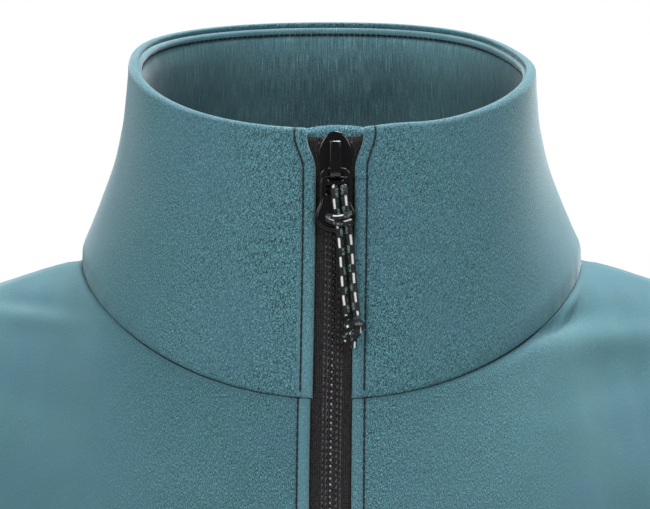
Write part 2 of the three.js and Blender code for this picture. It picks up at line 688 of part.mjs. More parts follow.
// The closed chain, from just above the bottom box to just below the slider's wedge.
function zipChain() {
  const top = AXIS_UP + (SLIDER.wedgeBottom - CHAIN_GAP.wedge) / COLLAR_FRONT.length();
  const lines = [-CHAIN.half, CHAIN.half].map((side) => zipRows(side, top));
  const bottom = BODY_SECTIONS[0].z + BOX.height + CHAIN_GAP.box;
  for (const line of lines) {
    const next = line[1];
    line[0].lerp(next, (bottom - line[0].z) / (next.z - line[0].z));
  }
  const grid = lines[0].map((_, i) => lines.map((line) => line[i]));
  const normals = gridNormals(grid, false, INSIDE_BODY);
  return wallBetween(sunkGrid(grid, normals, CHAIN.front), sunkGrid(grid, normals, CHAIN.back));
}

// In the zip's own frame, Z runs up the collar's front, -Y points out and 0 is the hinge line.
function outOf(depth) {
  return AXIS.out + depth;
}

function solidOf(geometry) {
  geometry.deleteAttribute('normal');
  geometry.deleteAttribute('uv');
  const merged = mergeVertices(geometry, 1e-4);
  return new wasm.Manifold(new wasm.Mesh({
    numProp: 3,
    vertProperties: new Float32Array(merged.getAttribute('position').array),
    triVerts: new Uint32Array(merged.index.array),
  }));
}

function joined(geometries) {
  const mesh = geometries.map(solidOf).reduce((sum, next) => sum.add(next)).getMesh();
  return geometryFrom(mesh.vertProperties, Array.from(mesh.triVerts));
}

// A plate in the zip's own frame, its outline drawn side by height, between two depths.
function plate(shape, front, back, segments) {
  const geometry = new THREE.ExtrudeGeometry(shape, {
    depth: back - front, bevelEnabled: false, curveSegments: segments,
  });
  geometry.rotateX(Math.PI / 2);
  return geometry.translate(0, outOf(back), 0);
}

function taperedOutline(topHalf, bottomHalf, top, bottom, corner) {
  const shape = new THREE.Shape();
  shape.moveTo(-bottomHalf, bottom);
  shape.lineTo(bottomHalf, bottom);
  shape.lineTo(topHalf, top - corner);
  shape.quadraticCurveTo(topHalf, top, topHalf - corner, top);
  shape.lineTo(corner - topHalf, top);
  shape.quadraticCurveTo(-topHalf, top, -topHalf, top - corner);
  shape.closePath();
  return shape;
}

// The bridge over the pull's bar, its outline drawn in side view and given its width along X.
function bridge() {
  const rear = -PLATE.frontOuter - BRIDGE.sunk - AXIS.out;
  const inner = PULL.bar + BRIDGE.lift;
  const outer = inner + BRIDGE.thick;
  const nose = -PULL.bar - BRIDGE.play;
  const shape = new THREE.Shape();
  shape.moveTo(-BRIDGE.nose, rear);
  shape.lineTo(-BRIDGE.nose, 0);
  shape.quadraticCurveTo(-BRIDGE.nose, outer, 0, outer);
  shape.lineTo(BRIDGE.top - BRIDGE.footLength, outer);
  shape.quadraticCurveTo(BRIDGE.top, outer, BRIDGE.foot, rear);
  shape.lineTo(BRIDGE.foot - BRIDGE.footLength, rear);
  shape.quadraticCurveTo(BRIDGE.top - 2.5, inner, BRIDGE.top - 5, inner);
  shape.lineTo(0, inner);
  shape.quadraticCurveTo(nose, inner, nose, 0);
  shape.lineTo(nose, rear);
  shape.closePath();
  const geometry = new THREE.ExtrudeGeometry(shape, {
    depth: 2 * BRIDGE.half, bevelEnabled: false, curveSegments: 6,
  });
  const basis = new THREE.Matrix4().makeBasis(
    new THREE.Vector3(0, 0, 1),
    new THREE.Vector3(0, -1, 0),
    new THREE.Vector3(1, 0, 0),
  );
  return geometry.applyMatrix4(basis).translate(-BRIDGE.half, 0, 0);
}

// A front and a back plate of one outline, joined by a core that reaches a little into both.
function doublePlate(outline, core, segments) {
  return [
    plate(outline, PLATE.frontOuter, PLATE.frontInner, segments),
    plate(outline, PLATE.backInner, PLATE.backOuter, segments),
    plate(core, PLATE.frontInner - PLATE.overlap, PLATE.backInner + PLATE.overlap, segments),
  ];
}

function slider() {
  const { half, bottomHalf, top, bottom, shoulder, wedgeHalf, wedgeTip, wedgeTop, wedgeBottom } = SLIDER;
  const outline = taperedOutline(half, bottomHalf, top, bottom, shoulder);
  const wedge = taperedOutline(wedgeHalf, wedgeTip, wedgeTop, wedgeBottom, PLATE.corner);
  return joined([...doublePlate(outline, wedge, 8), bridge()]);
}

function bottomBox() {
  const outline = taperedOutline(BOX.half, BOX.half, BOX.height, 0, 2 * PLATE.corner);
  const core = taperedOutline(BOX.coreHalf, BOX.coreHalf, BOX.height - BOX.inset, BOX.inset, PLATE.corner);
  return joined(doublePlate(outline, core, 4));
}

function pullOutline() {
  const shape = new THREE.Shape();
  const { stem, end, endDrop } = PULL;
  const low = -PULL_DOWN.endCentre;
  shape.moveTo(-stem + 1, PULL.bar);
  shape.lineTo(stem - 1, PULL.bar);
  shape.quadraticCurveTo(stem, PULL.bar, stem, -1);
  shape.lineTo(stem, -PULL_DOWN.stem);
  shape.bezierCurveTo(stem, -PULL_DOWN.stem - 2.5, end, low + 4, end, low);
  shape.bezierCurveTo(end, low - endDrop * 0.75, end * 0.6, low - endDrop, 0, low - endDrop);
  shape.bezierCurveTo(-end * 0.6, low - endDrop, -end, low - endDrop * 0.75, -end, low);
  shape.bezierCurveTo(-end, low + 4, -stem, -PULL_DOWN.stem - 2.5, -stem, -PULL_DOWN.stem);
  shape.lineTo(-stem, -1);
  shape.quadraticCurveTo(-stem, PULL.bar, -stem + 1, PULL.bar);
  shape.holes.push(slotPath(PULL.slotHalf, -PULL.bar, -PULL.slotEnd));
  shape.holes.push(slotPath(PULL_DOWN.holeHalf, -PULL_DOWN.hole, -PULL_DOWN.holeEnd));
  return shape;
}

function slotPath(half, top, bottom) {
  const path = new THREE.Path();
  const corner = 0.7;
  path.moveTo(-half, bottom + corner);
  path.quadraticCurveTo(-half, bottom, corner - half, bottom);
  path.lineTo(half - corner, bottom);
  path.quadraticCurveTo(half, bottom, half, bottom + corner);
  path.lineTo(half, top);
  path.lineTo(-half, top);
  path.closePath();
  return path;
}

function pull() {
  const bevel = 0.35;
  const geometry = new THREE.ExtrudeGeometry(pullOutline(), {
    depth: PULL.thick - 2 * bevel,
    bevelEnabled: true,
    bevelThickness: bevel,
    bevelSize: bevel,
    bevelOffset: -bevel,
    bevelSegments: 1,
    curveSegments: 4,
  });
  return geometry.rotateX(Math.PI / 2).translate(0, PULL.thick / 2 - bevel, 0);
}

// ---- Pull cord ----
function cordPoints(shift) {
  return CORD_ROUTE.map(({ side, out, down }) => new THREE.Vector3(side + shift, AXIS.out - out, -down));
}

function tube(points, radius, steps) {
  const section = new THREE.Shape();
  for (let k = 0; k < CORD.sides; k += 1) {
    const angle = (2 * Math.PI * (k + 0.5)) / CORD.sides;
    const corner = [radius * Math.cos(angle), radius * Math.sin(angle)];
    if (k === 0) section.moveTo(...corner);
    else section.lineTo(...corner);
  }
  section.closePath();
  const path = new THREE.CatmullRomCurve3(points);
  return new THREE.ExtrudeGeometry(section, { steps, bevelEnabled: false, extrudePath: path });
}

function cordStrand(shift) {
  return tube(cordPoints(shift), CORD.diameter / 2, CORD.steps);
}

// The hitch: a half round of cord that crosses over both strands on the pull.
function cordHitch() {
  const steps = 8;
  const points = Array.from({ length: steps + 1 }, (_, k) => {
    const angle = Math.PI * (0.12 + (0.76 * k) / steps);
    const out = HITCH.out + HITCH.rise * Math.sin(angle) ** 0.6;
    return new THREE.Vector3(HITCH.side - HITCH.radius * Math.cos(angle), AXIS.out - out, -HITCH.down);
  });
  return tube(points, HITCH.tube, steps);
}

function cordKnot() {
  const ball = new THREE.SphereGeometry(KNOT.radius, 14, 10);
  ball.scale(0.95, 0.9, 1.05);
  ball.translate(KNOT.side, AXIS.out - KNOT.out, -KNOT.down);
  const tails = TAILS.map(({ side, down }) => tube(
    [
      new THREE.Vector3(KNOT.side - 0.6, AXIS.out - KNOT.out, -KNOT.down - 1),
      new THREE.Vector3(lerp(KNOT.side, side, 0.7), AXIS.out - KNOT.out + 0.4, -lerp(KNOT.down, down, 0.6)),
      new THREE.Vector3(side, AXIS.out - KNOT.out + 0.8, -down),
    ],
    CORD.diameter * 0.42,
    4,
  ));
  return joined([ball, ...tails]);
}

// ---- Materials and the finished group ----
function paint(color, roughness, metalness = 0) {
  return () => new THREE.MeshStandardMaterial({ color, roughness, metalness });
}

const FLEECE = paint(0x4c7a83, 0.85);
const INNER_FLEECE = paint(0x3b616b, 0.9);
const ZIP_TAPE = paint(0x26242a, 0.8);
const ZIP_COIL = paint(0x1c1b20, 0.45);
const BLACK_ENAMEL = paint(0x121214, 0.25, 0.3);
const CORD_BLACK = paint(0x202427, 0.7);

function piece(name, geometry, material) {
  const mesh = new THREE.Mesh(geometry, material());
  mesh.name = name;
  return mesh;
}

const jacket = new THREE.Group();
jacket.add(
  piece('front_right', drifted(frontPanel(-1)), FLEECE),
  piece('front_left', drifted(frontPanel(1)), FLEECE),
  piece('back', backPanel(), FLEECE),
  piece('sleeve_right', sleeve(-1), FLEECE),
  piece('sleeve_left', sleeve(1), FLEECE),
  piece('collar', drifted(collar()), FLEECE),
  piece('collar_facing', drifted(collarFacing()), INNER_FLEECE),
  piece('zip_guard', drifted(zipStrip(GUARD_SIDES, GUARD, GUARD_TOP)), FLEECE),
  piece('zip_tape_right', drifted(zipStrip(TAPE_SIDES.map((side) => -side), TAPE, TAPE_TOP)), ZIP_TAPE),
  piece('zip_tape_left', drifted(zipStrip(TAPE_SIDES, TAPE, TAPE_TOP)), ZIP_TAPE),
  piece('zip_chain', drifted(zipChain()), ZIP_COIL),
);

const hemFront = bodyPoint(0, 0);
const hemRise = bodyPoint(0, 0.05).sub(hemFront);
const boxFrame = new THREE.Group();
boxFrame.position.set(0, hemFront.y - AXIS.out, hemFront.z + BOX.rise);
boxFrame.rotation.x = Math.atan2(-hemRise.y, hemRise.z);
boxFrame.add(piece('zip_box', bottomBox(), BLACK_ENAMEL));
jacket.add(boxFrame);

const zipFrame = new THREE.Group();
zipFrame.position.copy(HINGE).setX(zipDrift(HINGE.z));
zipFrame.rotation.x = -COLLAR_LEAN;
zipFrame.add(
  piece('zip_slider', slider(), BLACK_ENAMEL),
  piece('zip_pull', pull(), BLACK_ENAMEL),
  piece('cord_strand_right', cordStrand(0), CORD_BLACK),
  piece('cord_strand_left', cordStrand(STRAND_STEP), CORD_BLACK),
  piece('cord_hitch', cordHitch(), CORD_BLACK),
  piece('cord_knot', cordKnot(), CORD_BLACK),
);
jacket.add(zipFrame);

export default jacket;
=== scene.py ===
"""The looks of a high-collar fleece jacket with a centre-front zip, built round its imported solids."""

import math
from types import SimpleNamespace as Group

import bpy
import numpy as np
from bpy.props import FloatProperty, FloatVectorProperty, PointerProperty
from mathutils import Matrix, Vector


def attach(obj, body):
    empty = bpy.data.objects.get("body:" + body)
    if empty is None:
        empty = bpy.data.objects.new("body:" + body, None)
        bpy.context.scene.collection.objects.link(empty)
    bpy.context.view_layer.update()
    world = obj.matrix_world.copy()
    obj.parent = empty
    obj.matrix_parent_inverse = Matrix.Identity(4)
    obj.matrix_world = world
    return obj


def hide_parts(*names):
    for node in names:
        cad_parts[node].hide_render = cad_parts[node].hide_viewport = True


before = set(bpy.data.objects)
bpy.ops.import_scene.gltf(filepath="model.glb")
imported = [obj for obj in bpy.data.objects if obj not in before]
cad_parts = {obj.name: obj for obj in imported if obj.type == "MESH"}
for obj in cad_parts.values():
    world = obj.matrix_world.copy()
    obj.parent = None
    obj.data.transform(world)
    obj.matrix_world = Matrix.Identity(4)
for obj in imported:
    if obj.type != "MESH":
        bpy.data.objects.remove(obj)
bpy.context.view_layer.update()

bl_info = {
    "name": "Fleece Jacket",
    "version": (1, 0, 0),
    "blender": (4, 5, 0),
    "location": "3D View > Sidebar > Jacket",
    "description": "Builds the cloth, zip, cord and stage of a high-collar fleece jacket",
    "category": "Add Mesh",
}

MM = 0.001  # the pattern's sizes are in millimetres, and meshes are in metres
TURN = 2 * math.pi

# ---- The pattern: the same driving sizes as the solids have ----
CLOTH = 2.0
SEAM_GAP = 0.3
WALL = 2 * CLOTH + SEAM_GAP  # collar and facing together
NECK = Group(half_width=87.5, front=78, back=70, front_drop=39.6, back_rise=5, power=1.4, square=2.1)
RIM = Group(half_width=72.3, front=65, back=65, side=72.3, tilt=14.9, dip=6.2, soften=0.25, square=2.2)
RIM_LEFT_DROP = 1.4
RIM_SLUMP = Group(depth=2.2, inward=1.2, turn=104, spread=36)  # softer on the wearer's left
RIM_CORNER = Group(lift=1.0, turn=15, spread=13)  # beside the zip on the left
RIM_TUCK = Group(inward=1.5, turn=-98, spread=30)  # and bent in a little on the right
ZIP_DRIFT = Group(top=1.25, low=-0.5, top_z=45, low_z=-90, fade_z=-260, reach=42)
COLLAR_GAP = Group(half=6.7, top_flare=3.0, flare_from=0.84)
BODY_GAP = Group(left=6.9, right=7.4)  # half gap on the wearer's left, and on the right
SHOULDER = Group(tip=222, slope=17.5, droop=6)
SHOULDER_LIFT = Group(height=1.5, near=6, far=60, gone=115)
HEM_Z = -690
CHEST_Z = -225
BODY_SQUARE = 2.4
LEAVE_CHEST = np.array((0, 0, 190.0))
LEAVE_UNDERARM = np.array((-80, -225, 165.0))
ARRIVE_BESIDE_ARM = np.array((80, 30, 0.0))
TOP_PULL = Group(neck=150, shoulder=120, tip=225)
NECK_LEAN = Group(front=24, back=34)
SHOULDER_TURN_IN = 0.25
# Shares of a quarter of the body: where the top edge leaves the neck, and where the armhole starts.
NECK_SHARE = 0.45
ARM_FROM = 0.6
# The body's bends are eased over nearby turns, in degrees, and nearby heights, each with a weight.
EASE = Group(
    spread=0.24,
    tall=0.13,
    turns=((-13, 0.12), (-6.5, 0.23), (0, 0.3), (6.5, 0.23), (13, 0.12)),
    rises=((-0.05, 0.25), (0, 0.5), (0.11, 0.25)),
)
SIDE_PER_DEGREE = 1.9  # millimetres round the body for each degree of turn
ACROSS_BACK_FROM = 150  # folds beyond this turn run on across the middle of the back
SLEEVE_LENGTH = 410
CAP_LEAVE = Group(under=18, top=110, fore_aft=-0.3, rise=-0.25)
CAP_ARRIVE = Group(under=32, top=150)


def table(columns, *rows):
    """A short table as one array for each named column."""
    return dict(zip(columns.split(), np.array(rows, float).T))


BODY_SECTIONS = table(
    "z half_width front back",
    (HEM_Z, 183, 130, 122),
    (-600, 185, 133, 126),
    (-450, 174, 130, 110),
    (-320, 180, 139, 124),
    (CHEST_Z, 185, 143, 136),
)
COLLAR_PROFILE = table(
    "up flare",
    (0, 1),
    (0.1, 0.93),
    (0.2, 0.74),
    (0.3, 0.54),
    (0.45, 0.29),
    (0.6, 0.12),
    (0.75, 0.01),
    (1, 0),
)
SLEEVE_SECTIONS = table(
    "along x y z half_wide half_deep",
    (0, 249, -1, -252, 57, 69),
    (0.25, 264, 4, -350, 55, 64),
    (0.5, 280, 4, -450, 52, 60),
    (0.75, 297, -12, -556, 47, 53),
    (1, 314, -36, -660, 41, 46),
)
# Folds of the body: centre turn and height, half sizes, depth (minus is a trough) and lean.
BODY_FOLDS = table(
    "turn z across along depth lean",
    (46, -62, 20, 66, 1.6, 66),
    (-50, -58, 20, 60, 1.2, -70),
    (72, -190, 18, 60, -6, 38),
    (-70, -196, 18, 66, -6.5, -34),
    (112, -200, 18, 62, -6, -32),
    (-115, -192, 18, 58, -5.5, 36),
    (58, -478, 22, 74, -4, 52),
    (-62, -430, 22, 66, -4.5, -56),
    (132, -425, 24, 78, -4.5, -50),
    (-126, -470, 24, 70, -4, 54),
)
# Softer creases and swells that the solids leave out.
BODY_CREASES = table(
    "turn z across along depth lean",
    (28.6, -16.6, 4.2, 20, -3.2, 82),
    (27, -18.8, 2.6, 11, -1.5, 57),
    (35, -24, 6.4, 34, 2.1, 87),
    (52, -25, 7.5, 30, 0.9, 92),
    (36, -38, 8, 44, -0.7, 82),
    (-43, -17.2, 3.8, 28, 1.1, 95),
    (-47, -11.8, 3.6, 26, -1.2, 94),
    (-30, -26, 5.5, 20, 0.5, -72),
    (-36, -44, 10, 44, -0.7, -76),
    (62, -74, 10, 46, 0.8, 60),
    (-64, -72, 10, 44, 0.6, -62),
    (80, -150, 7, 40, -2.6, 30),
    (-80, -158, 7, 38, -2.4, -28),
    (64, -228, 9, 44, -2.0, 52),
    (-62, -236, 9, 46, -2.2, -50),
    (102, -166, 8, 42, -2.6, -26),
    (-104, -160, 8, 40, -2.4, 30),
    (122, -232, 10, 46, -2.2, -46),
    (-124, -228, 10, 44, -2.0, 44),
    (16, -300, 16, 60, -1.6, 64),
    (-24, -350, 16, 58, -1.8, -58),
    (70, -395, 12, 52, -2.4, 62),
    (-74, -372, 12, 48, -2.2, -64),
    (40, -560, 14, 60, -2.0, 44),
    (-36, -536, 14, 62, -1.8, -40),
    (84, -600, 13, 50, -2.2, 20),
    (-88, -588, 13, 52, -2.4, -24),
    (110, -380, 12, 54, -2.4, -58),
    (-108, -404, 12, 50, -2.2, 60),
    (160, -150, 14, 60, -1.6, -70),
    (-164, -120, 14, 52, -1.4, 72),
    (150, -520, 15, 64, -2.2, -44),
    (-148, -548, 15, 60, -2.0, 42),
    (176, -330, 18, 66, -1.8, 60),
)
# Folds of a sleeve: centre turn (0 outer side, 90 front) and share of the length.
SLEEVE_FOLDS = table(
    "turn along across length depth",
    (95, 0.4, 15, 46, -6),
    (75, 0.52, 15, 52, -6.5),
    (110, 0.64, 15, 44, -5),
    (265, 0.47, 18, 48, 4),
    (40, 0.86, 14, 50, -4),
    (230, 0.8, 15, 46, -4.5),
    (150, 0.14, 16, 44, -5),
)
SLEEVE_CREASES = table(
    "turn along across length depth",
    (120, 0.33, 6, 30, -2.2),
    (60, 0.45, 6, 32, -2.4),
    (102, 0.58, 6, 30, -2.4),
    (215, 0.1, 8, 34, -2.2),
    (185, 0.22, 8, 36, -2.4),
    (300, 0.3, 10, 40, -1.6),
    (330, 0.72, 9, 44, -1.8),
    (200, 0.62, 8, 36, -2.0),
    (130, 0.93, 6, 34, -1.6),
    (310, 0.95, 6, 40, -1.5),
    (20, 0.12, 12, 40, -1.4),
)

# Places beside the zip, from the opening's edge or from the middle.
TAPE = Group(inner=0.4, outer=14.9, front=2.3, thick=0.9, swell=3.3, rise=0.45)
GUARD = Group(half=20, front=5.2, thick=1.7, arch=1.6, stitch=4.4)
SLIDER = Group(half=5.75, bottom_half=4.65, top=13.6, bottom=-3.9)
PLATE = Group(front=0.7, thick=1.2, back=3.7)
WEDGE = Group(bottom=6.5, top=13, half=2.6)
AXIS = Group(height=37, out=1.4)
BRIDGE = Group(half=1.9, nose=3.1, top=10.3, foot=9.8, thick=1.2, inner=1.42)
PULL = Group(thick=1.8, stem=5.1, end=6.9, bar=0.9, stem_end=9.5, end_centre=15.8, end_drop=5.0)
PULL_HOLE = Group(half=3.1, top=-4.9, bottom=-8.3)
PULL_SLOT = Group(half=2.35, top=-0.9, bottom=-3.6)
BOX = Group(half=5.2, height=12, rise=1)

# The pull cord's route from the hinge line: to the side, out from the cloth and down the zip.
CORD_ROUTE = table(
    "side out down",
    (-0.3, 4.15, 6.6),
    (-0.1, 4.3, 10),
    (0.5, 4.35, 15),
    (1.2, 4.3, 20),
    (1.8, 3.5, 25.5),
    (2.2, 3.0, 31),
    (2.6, 2.9, 37),
    (3.1, 3.1, 43),
    (4.0, 3.7, 49.6),
)
STRAND_STEP = 3.15
HITCH = Group(side=1.15, out=4.3, down=16.2, radius=3.7, rise=3.3, sag=1.1, apart=1.9, cord=1.05)
KNOT = Group(side=6.3, out=4.1, down=53.6, cord=1.45, tail=1.176)
TAILS = table("side down", (2.9, 57.9), (6.0, 60.2))


# ---- Curves ----
def hermite(t, start, leave, end, arrive):
    rest = 1 - t
    ends = start * (1 + 2 * t) * rest * rest + end * (3 - 2 * t) * t * t
    return ends + leave * t * rest * rest - arrive * rest * t * t


def read_table(rows, column, at):
    """Every column at places between the rows, on a smooth curve through them."""
    keys = rows[column]
    at = np.asarray(at, float)
    a = np.searchsorted(keys[1:-1], at, side="left")
    b = a + 1
    before, after = np.maximum(a - 1, 0), np.minimum(a + 2, len(keys) - 1)
    span = keys[b] - keys[a]
    t = np.clip((at - keys[a]) / span, 0, 1)
    found = {}
    for name, values in rows.items():
        leave = (values[b] - values[before]) / (keys[b] - keys[before]) * span
        arrive = (values[after] - values[a]) / (keys[after] - keys[a]) * span
        found[name] = hermite(t, values[a], leave, values[b], arrive)
    return Group(**found)


def smoothstep(x, low, high):
    t = np.clip((x - low) / (high - low), 0, 1)
    return t * t * (3 - 2 * t)


def bell(distance):
    return np.exp(-2 * distance * distance)


def mix(a, b, share):
    return a + (b - a) * share


def wrapped(turn):
    """A turn brought within half a turn of 0."""
    return (turn + 180) % 360 - 180


def nearest(values, at):
    """Index of the value nearest to a number."""
    return int(np.argmin(np.abs(values - at)))


def vec(x, y, z):
    return np.stack(np.broadcast_arrays(*(np.asarray(v, float) for v in (x, y, z))), -1)


def each(values):
    """Numbers shaped so that they multiply vectors."""
    return np.asarray(values, float)[..., None]


def unit(vectors):
    return vectors / np.maximum(np.linalg.norm(vectors, axis=-1, keepdims=True), 1e-9)


def ripple(at, *waves):
    """An uneven wave: the sum of sines given as (length, phase)."""
    return sum(np.sin(TURN * at / length + phase) for length, phase in waves) / len(waves)


# ---- Neck seam, collar and body surfaces ----
def section_point(turn, half_width, front, back, square):
    sin, cos = np.sin(np.radians(turn)), np.cos(np.radians(turn))
    x = half_width * np.sign(sin) * np.abs(sin) ** (2 / square)
    y = -np.where(cos > 0, front, back) * np.sign(cos) * np.abs(cos) ** (2 / square)
    return x, y


def neck_point(turn):
    cos = np.cos(np.radians(turn))
    x, y = section_point(turn, NECK.half_width, NECK.front, NECK.back, NECK.square)
    rise = np.where(cos > 0, -NECK.front_drop, NECK.back_rise)
    return vec(x, y, rise * np.abs(cos) ** NECK.power)


def rim_point(turn, bent):
    """Crest of the rim; its softer places bend in by a share that grows towards the top."""
    sin, cos = np.sin(np.radians(turn)), np.cos(np.radians(turn))
    x, y = section_point(turn, RIM.half_width, RIM.front, RIM.back, RIM.square)
    dip = (np.hypot(cos, RIM.soften) - RIM.soften) / (math.hypot(1, RIM.soften) - RIM.soften)
    drop = RIM_LEFT_DROP * np.maximum(0, sin) ** 2
    slump = bell((turn - RIM_SLUMP.turn) / RIM_SLUMP.spread)
    tuck = RIM_TUCK.inward * bell((turn - RIM_TUCK.turn) / RIM_TUCK.spread)
    x, drop = x + (tuck - RIM_SLUMP.inward * slump) * bent, drop + RIM_SLUMP.depth * slump
    drop = drop - RIM_CORNER.lift * bell((turn - RIM_CORNER.turn) / RIM_CORNER.spread)
    return vec(x, y, RIM.side - RIM.tilt * cos - RIM.dip * dip - drop)


def collar_point(turn, up):
    """Outer face of the collar; up runs from 0 at the neck seam to 1 at the rim."""
    base, rim = neck_point(turn), rim_point(turn, smoothstep(up, 0.72, 1))
    frontness = smoothstep(np.cos(np.radians(turn)), 0.2, 0.95)
    flare = mix(read_table(COLLAR_PROFILE, "up", up).flare, 1 - up, frontness)
    point = mix(rim, base, each(flare))
    point[..., 2] = mix(base[..., 2], rim[..., 2], up)
    return point


def shoulder_point(share, side):
    x = mix(NECK.half_width, SHOULDER.tip, share)
    away = x - NECK.half_width
    drop = away * math.tan(math.radians(SHOULDER.slope))
    fade = smoothstep(away, SHOULDER_LIFT.far, SHOULDER_LIFT.gone)
    lift = SHOULDER_LIFT.height * smoothstep(away, 0, SHOULDER_LIFT.near) * (1 - fade)
    return vec(side * x, 0 * x, lift - drop - SHOULDER.droop * share * share)


def quarter_of(turn):
    """Side and half of the body that a turn is on, and its share of that quarter."""
    side = np.where(turn < 0, -1.0, 1.0)
    fore = np.where(np.abs(turn) <= 90, 1.0, -1.0)
    return side, fore, np.where(fore > 0, np.abs(turn), 180 - np.abs(turn)) / 90


def top_end(turn):
    """Top end of the column at a turn, and the tangent with which the cloth arrives there."""
    side, fore, share = quarter_of(turn)
    along = np.minimum(share / NECK_SHARE, 1)
    neck_turn = np.where(fore > 0, along * 90, 180 - along * 90)
    lean = np.radians(np.where(fore > 0, NECK_LEAN.front, NECK_LEAN.back))
    inward = vec(0, fore * np.sin(lean), np.cos(lean))
    over = vec(-SHOULDER_TURN_IN * side, fore, 0)
    at_neck = unit(mix(inward, over, each(along**1.6))) * each(mix(TOP_PULL.neck, TOP_PULL.shoulder, along))
    out = np.clip((share - NECK_SHARE) / (1 - NECK_SHARE), 0, 1)
    at_shoulder = unit(vec(-SHOULDER_TURN_IN * side * (1 - out), fore, 0))
    at_shoulder = at_shoulder * each(mix(TOP_PULL.shoulder, TOP_PULL.tip, out))
    on_neck = each(share < NECK_SHARE) > 0
    point = np.where(on_neck, neck_point(side * neck_turn), shoulder_point(out, side))
    return point, np.where(on_neck, at_neck, at_shoulder)


def body_push(turn, z, folds):
    """How far the folds push a point of the body out."""
    push = np.zeros(np.broadcast(turn, z).shape)
    for at, height, across, along, depth, lean in zip(*folds.values()):
        away = wrapped(turn - at) if abs(at) > ACROSS_BACK_FROM else turn - at
        reach, rise, angle = SIDE_PER_DEGREE * away, z - height, math.radians(lean)
        over = (reach * math.cos(angle) - rise * math.sin(angle)) / across
        down = (reach * math.sin(angle) + rise * math.cos(angle)) / along
        push = push + depth * bell(over) * bell(down)
    return push


def fold_share(turn, up):
    """The folds fade out at the hem, at the top edge and beside the armhole."""
    beside_arm = smoothstep(np.abs(np.abs(turn) - 90), 1, 14)
    at_arm = mix(1, beside_arm, smoothstep(up, 0.8, 1))
    return smoothstep(2 - up, 0, 0.03) * smoothstep(up, 0, 0.08) * at_arm


def smooth_body(turn, up):
    """The body before its folds; up runs from 0 at the hem through 1 at the chest to 2 at the top."""
    turn, up = np.broadcast_arrays(np.asarray(turn, float), np.asarray(up, float))
    section = read_table(BODY_SECTIONS, "z", mix(HEM_Z, CHEST_Z, np.minimum(up, 1)))
    x, y = section_point(turn, section.half_width, section.front, section.back, BODY_SQUARE)
    low = vec(x, y, section.z)
    side, fore, share = quarter_of(turn)
    here = vec(side, fore, 1)
    arm = each(smoothstep(share, ARM_FROM, 1))
    top, arrive = top_end(turn)
    leave = mix(LEAVE_CHEST, LEAVE_UNDERARM * here, arm)
    arrive = arrive + ARRIVE_BESIDE_ARM * here * arm
    high = hermite(each(np.clip(up - 1, 0, 1)), low, leave, top, arrive)
    return np.where(each(up) > 1, high, low)


def folded(point, turn, up):
    """Points of the body pushed out and in by its folds."""
    away = unit(vec(point[..., 0] * 0.6, point[..., 1], np.maximum(0, point[..., 2] + 160) * 0.5))
    push = body_push(turn, point[..., 2], BODY_FOLDS) + body_push(turn, point[..., 2], BODY_CREASES)
    return point + away * each(fold_share(turn, up) * push)


def body_point(turn, up):
    """Outer face of the body."""
    return folded(smooth_body(turn, up), turn, up)


def eased_body(turn, up):
    """Outer face of the body, its bends below the neck seam's ends and at chest height eased."""
    turn, up = np.broadcast_arrays(np.asarray(turn, float), np.asarray(up, float))
    _, _, share = quarter_of(turn)
    near = bell((share - NECK_SHARE) / EASE.spread)
    near = near * smoothstep(up, 1.05, 1.3) * (1 - smoothstep(up, 1.9, 1.995))
    level = bell((up - 1) / EASE.tall) * (1 - smoothstep(share, ARM_FROM, 1))
    total = 0
    for step, weight in EASE.turns:
        for rise, part in EASE.rises:
            place = smooth_body(wrapped(turn + step * near), up + rise * level)
            total = total + place * (weight * part)
    return folded(total, turn, up)


WIDEST_TURN, HALVINGS = 80.0, 30


def turn_at(surface, side, up):
    """Turn at which a surface reaches a side distance, found by halving on that distance's side."""
    side, up = np.broadcast_arrays(np.asarray(side, float), np.asarray(up, float))
    low, high = np.zeros(side.shape), np.full(side.shape, WIDEST_TURN)
    for _ in range(HALVINGS):
        middle = (low + high) / 2
        short = surface(middle, up)[..., 0] < np.abs(side)
        low, high = np.where(short, middle, low), np.where(short, high, middle)
    return np.sign(side) * (low + high) / 2


def drifted(points):
    """The points moved sideways with the worn zip, less and less away from it."""
    x, y, z = np.moveaxis(points, -1, 0)
    upper = mix(ZIP_DRIFT.low, ZIP_DRIFT.top, smoothstep(z, ZIP_DRIFT.low_z, ZIP_DRIFT.top_z))
    shift = upper * smoothstep(z, ZIP_DRIFT.fade_z, ZIP_DRIFT.low_z) * bell(x / ZIP_DRIFT.reach)
    return vec(x + np.where(y < 0, shift, 0), y, z)


def collar_gap(up):
    return COLLAR_GAP.half + COLLAR_GAP.top_flare * smoothstep(up, COLLAR_GAP.flare_from, 1)


# ---- Meshes ----
def add_object(name, data):
    made = bpy.data.objects.new(name, data)
    bpy.context.scene.collection.objects.link(made)
    return made


def add_mesh(name, points, faces, coords=None, body="jacket"):
    """An object in the frame from points in millimetres, riding on a body."""
    mesh = bpy.data.meshes.new(name)
    mesh.from_pydata(np.asarray(points, float) * MM, [], faces)
    if coords is not None:
        mesh.attributes.new("cloth", "FLOAT_VECTOR", "POINT").data.foreach_set("vector", coords.ravel())
    mesh.polygons.foreach_set("use_smooth", [True] * len(mesh.polygons))
    mesh.update()
    piece = add_object(name, mesh)
    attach(piece, body)
    return piece


def grid_normals(points, closed=False):
    """Unit normals of a grid in rows and columns."""
    if closed:
        across = np.roll(points, -1, 1) - np.roll(points, 1, 1)
    else:
        across = np.gradient(points, axis=1)
    return unit(np.cross(across, np.gradient(points, axis=0)))


def run_along(points, axis):
    """Distance along the rows (0) or the columns (1) of a grid, from its first line."""
    steps = np.linalg.norm(np.diff(points, axis=axis), axis=-1)
    first = np.zeros_like(np.take(points[..., 0], [0], axis))
    return np.concatenate([first, np.cumsum(steps, axis)], axis)


